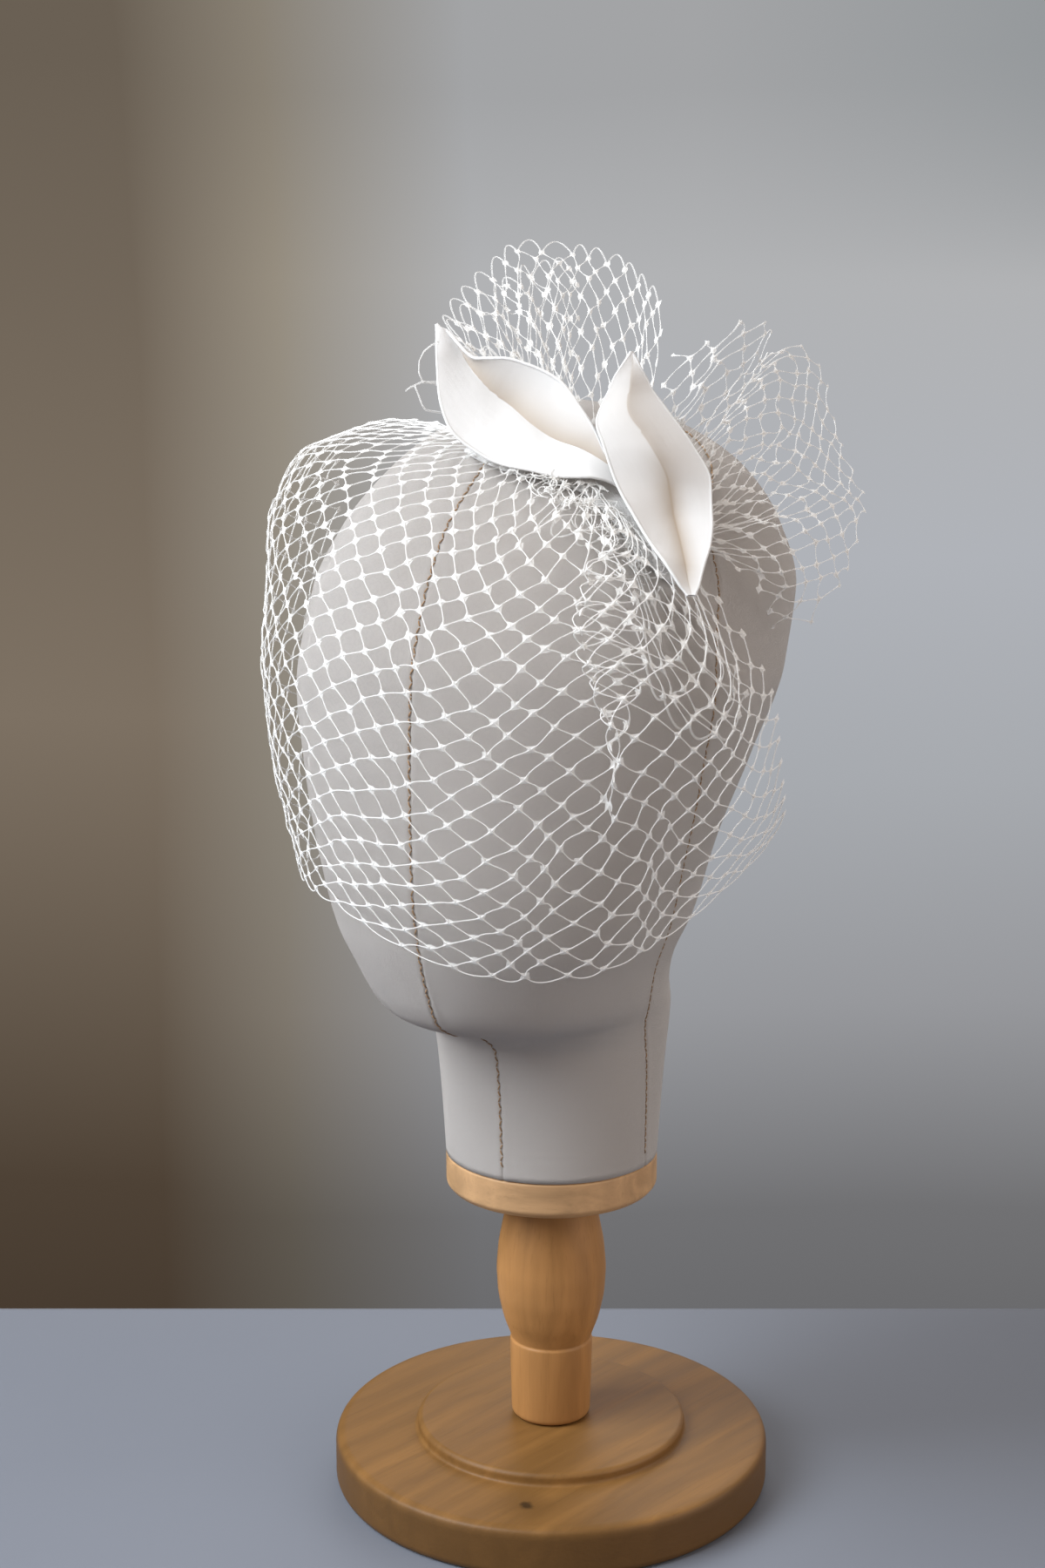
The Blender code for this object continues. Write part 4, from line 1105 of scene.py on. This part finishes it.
def declare_net(piece, columns, knots):
    """Works out the size of a strip of net with its cells square: each knot has a cell of its
    own, and half columns lie half a diagonal apart. Its area is what the threads cover, or the least
    that may be given. Its area is what the threads cover, held between three tenths of that size and the
    whole of it. Prints the sizes, the cover and its ratio to the area."""
    side = bpy.context.scene.veil_sizes.cell_side
    length = columns * side / np.sqrt(2.0)
    width = knots * side**2 / length
    covered = cloth_area(piece)
    area = float(np.clip(covered, 0.3 * width * length, width * length))
    print("net", piece.name, round(width, 4), round(length, 4), "covered", round(covered, 5), "ratio", round(covered / area, 3))


class VEIL_OT_stand(Operator):
    """Turned wooden foot, post and neck plate."""

    bl_idname = "veil.stand"
    bl_label = "Stand"

    def execute(self, context):
        colours = context.scene.veil_colours
        foot_wood = wood_finish("wood", tuple(colours.wood), (0.0, 0.0, np.radians(-75)), FOOT_KNOT, (BASE_THICKNESS - 1.0) * MM)
        plate_wood = wood_finish("plate_wood", tuple(colours.plate_wood), (0.0, 0.0, np.radians(-20)))
        post_wood = wood_finish("post_wood", tuple(colours.post_wood), (0.0, np.radians(90), 0.0))
        rows = (
            ("foot", "stand_base", BASE_PROFILE, 2.2, foot_wood, "wood"),
            ("post", "stand_post", POST_PROFILE, 2.5, post_wood, "post_wood"),
            ("plate", "neck_plate", PLATE_PROFILE, 0.8, plate_wood, "wood"),
        )
        for name, node, profile, rounds, finish, slot in rows:
            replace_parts(put_turned(name, profile, rounds, finish, slot), node)
        return {"FINISHED"}


def head_points(height, turn):
    """Points of the head's surface by height and by turn about the upright line through its middle, which
    eases over to the section's own middle near the crown: the reach solves the section's half ellipse
    along that turn."""
    half_width, front, back, widest = head_sections(height)
    way = np.radians(turn)
    across, ahead = np.sin(way), -np.cos(way)
    top = HEAD["height"][-1]
    start = (HEAD_MIDDLE[1] - widest) * (1 - ease((height - top + 45.0) / 35.0))
    depth = np.where(ahead > 0, back - widest, widest - front)
    for _ in range(2):
        a = (across / half_width) ** 2 + (ahead / depth) ** 2
        b = ahead * start / depth**2
        c = (start / depth) ** 2 - 1
        reach = (-b + np.sqrt(np.maximum(b * b - a * c, 0.0))) / a
        depth = np.where(start + ahead * reach > 0, back - widest, widest - front)
    return np.stack([reach * across, widest + start + reach * ahead, height + 0 * reach], -1)


def head_grid(rows, columns):
    """The head's surface by gore. Down it, rows crowd towards the crown by a power law. Round it, columns
    crowd towards the four seams."""
    top, bottom = HEAD["height"][-1], HEAD["height"][0]
    height = (top - (top - bottom) * np.linspace(0.0, 1.0, rows) ** 1.6)[:, None]
    quarter = np.linspace(0.0, 1.0, columns // 4, endpoint=False)
    crowded = quarter - np.sin(2 * np.pi * quarter) * 0.11
    seam = smooth(SEAM["height"], SEAM["turn"], height)
    left_front, left_back = crowded * seam, seam + crowded * (180.0 - seam)
    turn = np.concatenate([left_front, left_back, 180 + crowded * (180.0 - seam), 360 - seam + crowded * seam], 1)
    return head_points(height + 0 * turn, turn)


def seam_stitches(turn_at, low, high, thread):
    """Short stitches that slant by turns across a seam, 2.2 mm apart, just proud of the cloth."""
    height = np.linspace(low, high, 400)
    line = head_points(height, turn_at(height))
    reached = np.concatenate([[0.0], np.cumsum(np.linalg.norm(np.diff(line, axis=0), axis=-1))])
    count = int(reached[-1] / 2.2)
    middle = np.interp((np.arange(count) + 0.5) * 2.2, reached, height)
    out = unit(head_points(middle, turn_at(middle)) - [0.0, HEAD_MIDDLE[1] * 1.0, 0.0] - middle[:, None] * [0, 0, 1.0])
    run = unit(np.stack([head_points(middle + d, turn_at(middle + d)) for d in (0.5, -0.5)]).T[..., 0].T
               - head_points(middle - 0.5, turn_at(middle - 0.5)))
    side = unit(np.cross(out, run))
    slant = np.where(np.arange(count) % 2 == 0, 1.0, -1.0)[:, None]
    centre = head_points(middle, turn_at(middle)) + side * 0.25
    share = np.linspace(-1.0, 1.0, 5)[None, :, None]
    paths = centre[:, None] + share * (run * 0.85 + side * slant * 0.4)[:, None] + out[:, None] * (0.22 - 0.3 * share**2)
    return thread_tubes(paths, np.full(paths.shape[:2], thread / 2), out[:, None] + 0 * paths, 6)


class VEIL_OT_head(Operator):
    """Head of stuffed linen with four gores, its seams and their stitches."""

    bl_idname = "veil.head"
    bl_label = "Linen head"

    def execute(self, context):
        colours = context.scene.veil_colours
        points = head_grid(210, 320)
        rows, columns = points.shape[:2]
        on = np.roll(points, -1, 1)
        step = np.linalg.norm(on - points, axis=-1)
        quarter = columns // 4
        parts = step.reshape(rows, 4, quarter)
        ends = np.cumsum(parts, 2)
        starts = ends - parts
        middle = ends[:, :, -1:] / 2
        from_seam = np.minimum(starts, ends[:, :, -1:] - starts).reshape(rows, columns)
        normal = unit(np.cross(np.roll(points, -1, 1) - np.roll(points, 1, 1), np.gradient(points, axis=0)))
        groove = 0.22 * np.exp(-(((from_seam - 1.6) / 1.2) ** 2)) - 0.3 * np.exp(-((from_seam / 0.5) ** 2))
        fade = ease((np.arange(rows) - 6) / 20.0)[:, None]
        points = points - normal * (groove * fade)[..., None]
        down = np.concatenate([[0.0], np.cumsum(np.linalg.norm(np.diff(points, axis=0), axis=-1).mean(1))])
        down = np.broadcast_to(down[:, None], (rows, columns))
        left = np.stack([(starts - middle).reshape(rows, columns), down], -1)
        right = np.stack([(ends - middle).reshape(rows, columns), down], -1)
        left = left + np.repeat(np.arange(4) * 400.0, quarter)[None, :, None]
        right = right + np.repeat(np.arange(4) * 400.0, quarter)[None, :, None]
        corners = np.stack([left[:-1], right[:-1], right[1:], left[1:]], 2).reshape(-1, 2)
        faces = sheet_faces(rows, columns, True)[:, ::-1]
        corners = corners.reshape(-1, 4, 2)[:, ::-1].reshape(-1, 2)
        crown = np.arange(columns)[None, :]
        neck = ((rows - 1) * columns + np.arange(columns))[None, ::-1]
        flat = points.reshape(-1, 3)[:, :2]
        corners = np.concatenate([corners, flat[crown[0]], flat[neck[0]]])
        linen = linen_finish("linen", tuple(colours.linen))
        head = put_mesh("linen_head", points.reshape(-1, 3), [faces, crown, neck], linen, "linen", corners)
        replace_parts(head, "display_head")
        seams = (
            (lambda height: 0 * height, 130.0, 388.0),
            (lambda height: 180 + 0 * height, 130.0, 388.0),
            (lambda height: smooth(SEAM["height"], SEAM["turn"], height), 130.0, 388.0),
            (lambda height: -smooth(SEAM["height"], SEAM["turn"], height), 130.0, 388.0),
        )
        stitches = joined(*(seam_stitches(turn_at, low, high, 0.42) for turn_at, low, high in seams))
        paint = Paint("stitch_thread", roughness=0.7)
        place = paint.object_place()
        cloud = paint.noise(place, 900.0, 2.0)
        tan = (*colours.stitch, 1.0)
        paint.finish(paint.blend(cloud.spread(0.3, 0.7), deeper(tan, 0.75), deeper(tan, 1.3)), 0.6 + cloud * 0.2)
        put_mesh("seam_stitches", *stitches, paint.material, "linen")
        return {"FINISHED"}


class VEIL_OT_pad(Operator):
    """Cloth-covered crescent that the veil, ruffles and leaves are sewn to."""

    bl_idname = "veil.pad"
    bl_label = "Sewing pad"

    def execute(self, context):
        backs = named(PAD_COLUMNS, PAD_BACKS)
        share = np.linspace(PAD_BACKS[0][0], 0.99, 160)[:, None]
        back = smooth(backs["share"], backs["back"], share)
        around = np.linspace(0.0, 2 * np.pi, 41)[None, :-1]
        place = 0.5 - 0.5 * np.cos(around)
        lift = SEAT_GAP + PAD_THICKNESS / 2 + PAD_THICKNESS / 2 * np.sign(np.sin(around)) * np.abs(np.sin(around)) ** 0.5
        points = on_pad(share + 0 * place, -PAD_FRONT + (back + PAD_FRONT) * place, lift + 0 * share)
        rows, columns = points.shape[:2]
        faces = sheet_faces(rows, columns, True)
        start = np.arange(columns)[None, ::-1]
        end = ((rows - 1) * columns + np.arange(columns))[None]
        cloth_map = np.stack(np.broadcast_arrays(share * 130.0, place * 28.0), -1)
        cloth = linen_finish("pad_cloth", tuple(context.scene.veil_colours.satin), 0.3)
        pad = put_mesh("sewing_pad", points.reshape(-1, 3), [faces, start, end], cloth, "pad_cloth", cloth_map)
        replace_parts(pad, "headpiece_base")
        return {"FINISHED"}


def put_net(context, name, node, body, columns):
    finish = bpy.data.materials.get("net") or net_finish("net", tuple(context.scene.veil_colours.net))
    piece = put_mesh(name, body[0], body[1], finish, "net")
    if node:
        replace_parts(piece, node)
    declare_net(piece, columns, body[2])
    return piece


class VEIL_OT_net(Operator):
    """The veil's net, its short under layer and its gathered heading."""

    bl_idname = "veil.net"
    bl_label = "Veil net"

    def execute(self, context):
        sizes = context.scene.veil_sizes
        thread, knot = sizes.thread / MM, sizes.knot / MM
        body = net_body(veil_surface, sizes.half_columns, thread, knot, True, flat_edge=0.4)
        put_net(context, "veil", "veil_net", body, sizes.half_columns)
        body = net_body(frill_surface, 10, thread, knot, True, True, seed=SEED + 1)
        put_net(context, "under_layer", "veil_frill", body, 10)
        body = net_body(heading_surface, 26, thread * 0.72, knot * 1.05, True, True, 1.5, SEED + 2)
        heading = put_net(context, "heading", None, body, 26)
        bits = np.array([turned(*np.array(line, float).T) for line in EDGE_BITS])
        bits = np.stack([bits, bits + [0.3, -0.3, 0.4]], 1).reshape(-1, *bits.shape[1:])
        facing = np.broadcast_to(turned(0.0, 1.0, 0.0), bits.shape)
        torn = thread_tubes(bits, np.full(bits.shape[:2], thread * 0.36), facing, 5)
        points, groups = joined(stray_body(sizes.stray_loops, thread * 0.85, SEED + 3), torn)
        loops = put_mesh("stray_loops", points, groups, heading.data.materials[0], "net")
        return {"FINISHED"}


class VEIL_OT_ruffles(Operator):
    """The two ruffles of net that stand up behind the leaves."""

    bl_idname = "veil.ruffles"
    bl_label = "Ruffles"

    def execute(self, context):
        sizes = context.scene.veil_sizes
        thread, knot = sizes.thread / MM * 0.7, sizes.knot / MM * 0.85
        rows = (
            ("upper_ruffle", "ruffle_top", TOP_RUFFLE, sizes.top_columns, 9, 1.4, True, 4),
            ("side_ruffle_net", "ruffle_side", SIDE_RUFFLE, sizes.side_columns, 10, 1.2, False, 5),
        )
        for name, node, table, columns, waves, depth, loops, seed in rows:
            def surface(share, rise):
                bunched = share + 0.014 * np.sin(2 * np.pi * 7.3 * share + 1.0) * ease(share / 0.05) * rise
                return ruffle_surface(table, waves, depth, np.clip(bunched, 0.0, 1.0), rise)

            body = net_body(surface, columns, thread, knot, loops, True, 1.5, SEED + seed)
            put_net(context, name, node, body, columns)

        def folded(share, rise):
            ahead = ruffle_surface(TOP_RUFFLE, 7, 2.2, 0.34 + 0.62 * share, rise * (0.93 - 0.10 * np.sin(5.0 * share)))
            return ahead + unit(ahead - HEAD_MIDDLE) * (-1.5 * rise)[..., None] + turned(0.0, 3.5, 0.0) * rise[..., None]

        body = net_body(folded, 26, thread * 0.9, knot * 0.95, True, True, 1.7, SEED + 6)
        put_net(context, "upper_fold", None, body, 26)
        return {"FINISHED"}


def edge_cord(line, radius, facing, sides=8):
    return thread_tubes(line[None], np.full((1, len(line)), radius), facing[None], sides)


class VEIL_OT_leaves(Operator):
    """Two folded satin leaves with corded edges."""

    bl_idname = "veil.leaves"
    bl_label = "Satin leaves"

    def execute(self, context):
        colour = tuple(context.scene.veil_colours.satin)
        rows = (
            ("front_leaf", "leaf_left", LEAF_LEFT, (LEAF_LEFT_HOLLOW, 1.04), satin_finish("front_satin", colour, FRONT_FOLD_SHADE)),
            # The side leaf's satin is the same colour at 0.92 of its brightness: painted shade.
            ("side_leaf", "leaf_right", LEAF_RIGHT, (LEAF_RIGHT_HOLLOW, 1.12), satin_finish("side_satin", deeper(colour, 0.92)[:3], SIDE_FOLD_SHADE)),
        )
        for name, node, table, shape, satin in rows:
            points, fold = leaf_surface(table, 140, 24, *shape)
            body_points, groups = walled(points, LEAF_WALL * 0.8)
            lay = flat_map(points, fold)
            lay = np.concatenate([lay, lay]).reshape(-1, 2)
            facing = grid_normals(points)
            cords = [edge_cord(points[:, side], 0.55, facing[:, side]) for side in (0, -1)]
            all_points, all_groups = joined((body_points, groups), *cords)
            extra = np.concatenate([np.repeat(lay[:1], len(c[0]), 0) + c[0][:, 2:3] for c in cords])
            cloth_map = np.concatenate([lay, extra])
            leaf = put_mesh(name, all_points, all_groups, satin, "satin", cloth_map)
            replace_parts(leaf, node)
            length = float(np.linalg.norm(np.diff(points[:, 24], axis=0), axis=-1).sum()) * MM
            width = float(np.linalg.norm(np.diff(points, axis=1), axis=-1).sum(1).max()) * MM
            area = float(np.clip(cloth_area(leaf), 0.3 * width * length, width * length))
            print("leaf", name, width, length, area)
        return {"FINISHED"}


class VEIL_OT_stage(Operator):
    """Table, backdrop, lights and camera."""

    bl_idname = "veil.stage"
    bl_label = "Stage"

    def execute(self, context):
        scene = context.scene
        angle = np.radians(27.0)
        right = np.array([np.cos(angle), np.sin(angle), 0.0])
        ahead = np.array([-np.sin(angle), np.cos(angle), 0.0])
        table = self.board("table", right, ahead, -1.4, 1.4, -1.3, 0.15, -0.03, 0.0)
        paint = Paint("table_top", specular_ior_level=0.25)
        place = paint.object_place()
        cloud = paint.noise(place, 4.0, 3.0)
        tone = paint.blend(cloud.spread(0.3, 0.7), (0.160, 0.172, 0.203, 1.0), (0.170, 0.182, 0.213, 1.0))
        # Painted shade: the top is darkened towards the right, where the light falls off.
        to_right = paint.axis(paint.object_place(rotation=(0.0, 0.0, -angle)), 0).spread(0.0, 0.3)
        tone = paint.blend(to_right * 0.45, tone, deeper((0.17, 0.183, 0.22), 0.5))
        table.data.materials.append(paint.finish(tone, 0.55 + cloud * 0.08, paint.noise(place, 700.0), 0.0001, 0.15))
        wall = self.board("backdrop", right, ahead, -4.5, 4.5, 1.9, 1.95, -3.0, 3.0)
        # Painted light and shade: the backdrop glows by emission, and its ramps paint it darker and browner on the left
        # where it lies in shade, lit grey to the right, a little darker at the top right and darker low down.
        paint = Paint("backdrop", roughness=1.0, specular_ior_level=0.0, emission_strength=1.0)
        place = paint.object_place(rotation=(0.0, 0.0, -angle))
        drift = (paint.noise(place, 0.9, 2.0) - 0.5) * 0.1
        side, high = paint.axis(place, 0) + drift, (paint.axis(place, 2) + drift + 1.0) / 2.0
        painted_warm_shade = paint.node("ShaderNodeValToRGB", {"stops": (
            (0.0, shade(62, 51, 41)), (0.2, shade(78, 66, 54)), (0.5, shade(125, 113, 99)), (0.9, shade(106, 96, 84)),
        )}, [high])
        painted_wall_light_and_shade = paint.node("ShaderNodeValToRGB", {"stops": (
            (0.0, shade(97, 97, 99)), (0.18, shade(113, 113, 115)), (0.32, shade(151, 152, 156)),
            (0.46, shade(167, 170, 175)), (0.6, shade(176, 179, 185)), (0.77, shade(178, 179, 181)),
            (0.88, shade(163, 164, 166)),
        )}, [high])
        painted_wall_light_and_shade = paint.blend(side.spread(0.2, 0.6) * high.spread(0.76, 0.9) * 0.8, painted_wall_light_and_shade, shade(147, 151, 154))
        between = paint.blend(1.0, painted_wall_light_and_shade, (0.68, 0.59, 0.46, 1.0), "MULTIPLY")
        tone = paint.blend(side.spread(-0.47, -0.3), painted_warm_shade, between)
        tone = paint.blend(side.spread(-0.3, -0.06), tone, painted_wall_light_and_shade)
        paint.feed(paint.shader.inputs["Emission Color"], tone)
        wall.data.materials.append(paint.finish((0.0, 0.0, 0.0, 1.0)))
        lights = (
            ("window", -1.05, -0.5, 1.15, 1.1, 45.5, (0.875, 0.94, 1.0)),
            ("fill", 1.3, -0.5, 0.6, 1.4, 11.5, (1.0, 0.98, 0.97)),
            ("behind", 0.3, 1.0, 1.1, 1.2, 7.0, (1.0, 1.0, 1.0)),
        )
        for name, to_right, to_back, height, size, power, tint in lights:
            data = bpy.data.lights.new(name, "AREA")
            data.size = size
            data.energy = power
            data.color = tint
            lamp = bpy.data.objects.new(name, data)
            scene.collection.objects.link(lamp)
            place = right * to_right + ahead * to_back + np.array([0.0, 0.0, height])
            lamp.location = place
            lamp.rotation_euler = Vector(np.array([0.0, 0.0, 0.25]) - place).to_track_quat("-Z", "Y").to_euler()
        world = bpy.data.worlds.new("soft_room")
        world.use_nodes = True
        world.node_tree.nodes["Background"].inputs["Color"].default_value = (1.0, 0.78, 0.62, 1.0)
        world.node_tree.nodes["Background"].inputs["Strength"].default_value = 0.34
        scene.world = world
        scene.view_settings.view_transform = "Standard"
        data = bpy.data.cameras.new("camera")
        data.lens = 50.0
        data.sensor_width = 36.0
        camera = bpy.data.objects.new("camera", data)
        scene.collection.objects.link(camera)
        camera.location = (0.3352, -0.6812, 0.3948)
        camera.rotation_euler = (np.radians(90 - 10.08), 0.0, angle)
        scene.camera = camera
        return {"FINISHED"}

    def board(self, name, right, ahead, left, other, near, far, low, high):
        """A slab squared to the camera, from its reach to the right, ahead and up."""
        reach = np.array([[x, y, z] for x in (left, other) for y in (near, far) for z in (low, high)])
        points = reach[:, :1] * right + reach[:, 1:2] * ahead + reach[:, 2:] * np.array([0.0, 0.0, 1.0])
        mesh = bpy.data.meshes.new(name)
        faces = [(0, 1, 3, 2), (4, 6, 7, 5), (0, 4, 5, 1), (2, 3, 7, 6), (0, 2, 6, 4), (1, 5, 7, 3)]
        mesh.from_pydata(points.tolist(), [], faces)
        mesh.update()
        slab = bpy.data.objects.new(name, mesh)
        bpy.context.scene.collection.objects.link(slab)
        bevel = slab.modifiers.new("soft_edge", "BEVEL")
        bevel.width = 0.008
        bevel.segments = 3
        return slab


class VEIL_PT_panel(Panel):
    """Lists the veil's pieces."""

    bl_idname = "VEIL_PT_panel"
    bl_label = "Birdcage veil"
    bl_space_type = "VIEW_3D"
    bl_region_type = "UI"
    bl_category = "Veil"

    def draw(self, context):
        for group in (context.scene.veil_sizes, context.scene.veil_colours):
            for name in group.__annotations__:
                self.layout.prop(group, name)
        for step in STEPS:
            self.layout.operator(step.bl_idname)


STEPS = (VEIL_OT_stage, VEIL_OT_stand, VEIL_OT_head, VEIL_OT_pad, VEIL_OT_net, VEIL_OT_ruffles, VEIL_OT_leaves)
CLASSES = (VeilSizes, VeilColours, *STEPS, VEIL_PT_panel)


def register():
    for kind in CLASSES:
        bpy.utils.register_class(kind)
    bpy.types.Scene.veil_sizes = PointerProperty(type=VeilSizes)
    bpy.types.Scene.veil_colours = PointerProperty(type=VeilColours)


def unregister():
    del bpy.types.Scene.veil_colours
    del bpy.types.Scene.veil_sizes
    for kind in reversed(CLASSES):
        bpy.utils.unregister_class(kind)


def main():
    register()
    bpy.ops.veil.stage()
    bpy.ops.veil.stand()
    bpy.ops.veil.head()
    bpy.ops.veil.pad()
    bpy.ops.veil.net()
    bpy.ops.veil.ruffles()
    bpy.ops.veil.leaves()


if __name__ == "__main__":
    main()
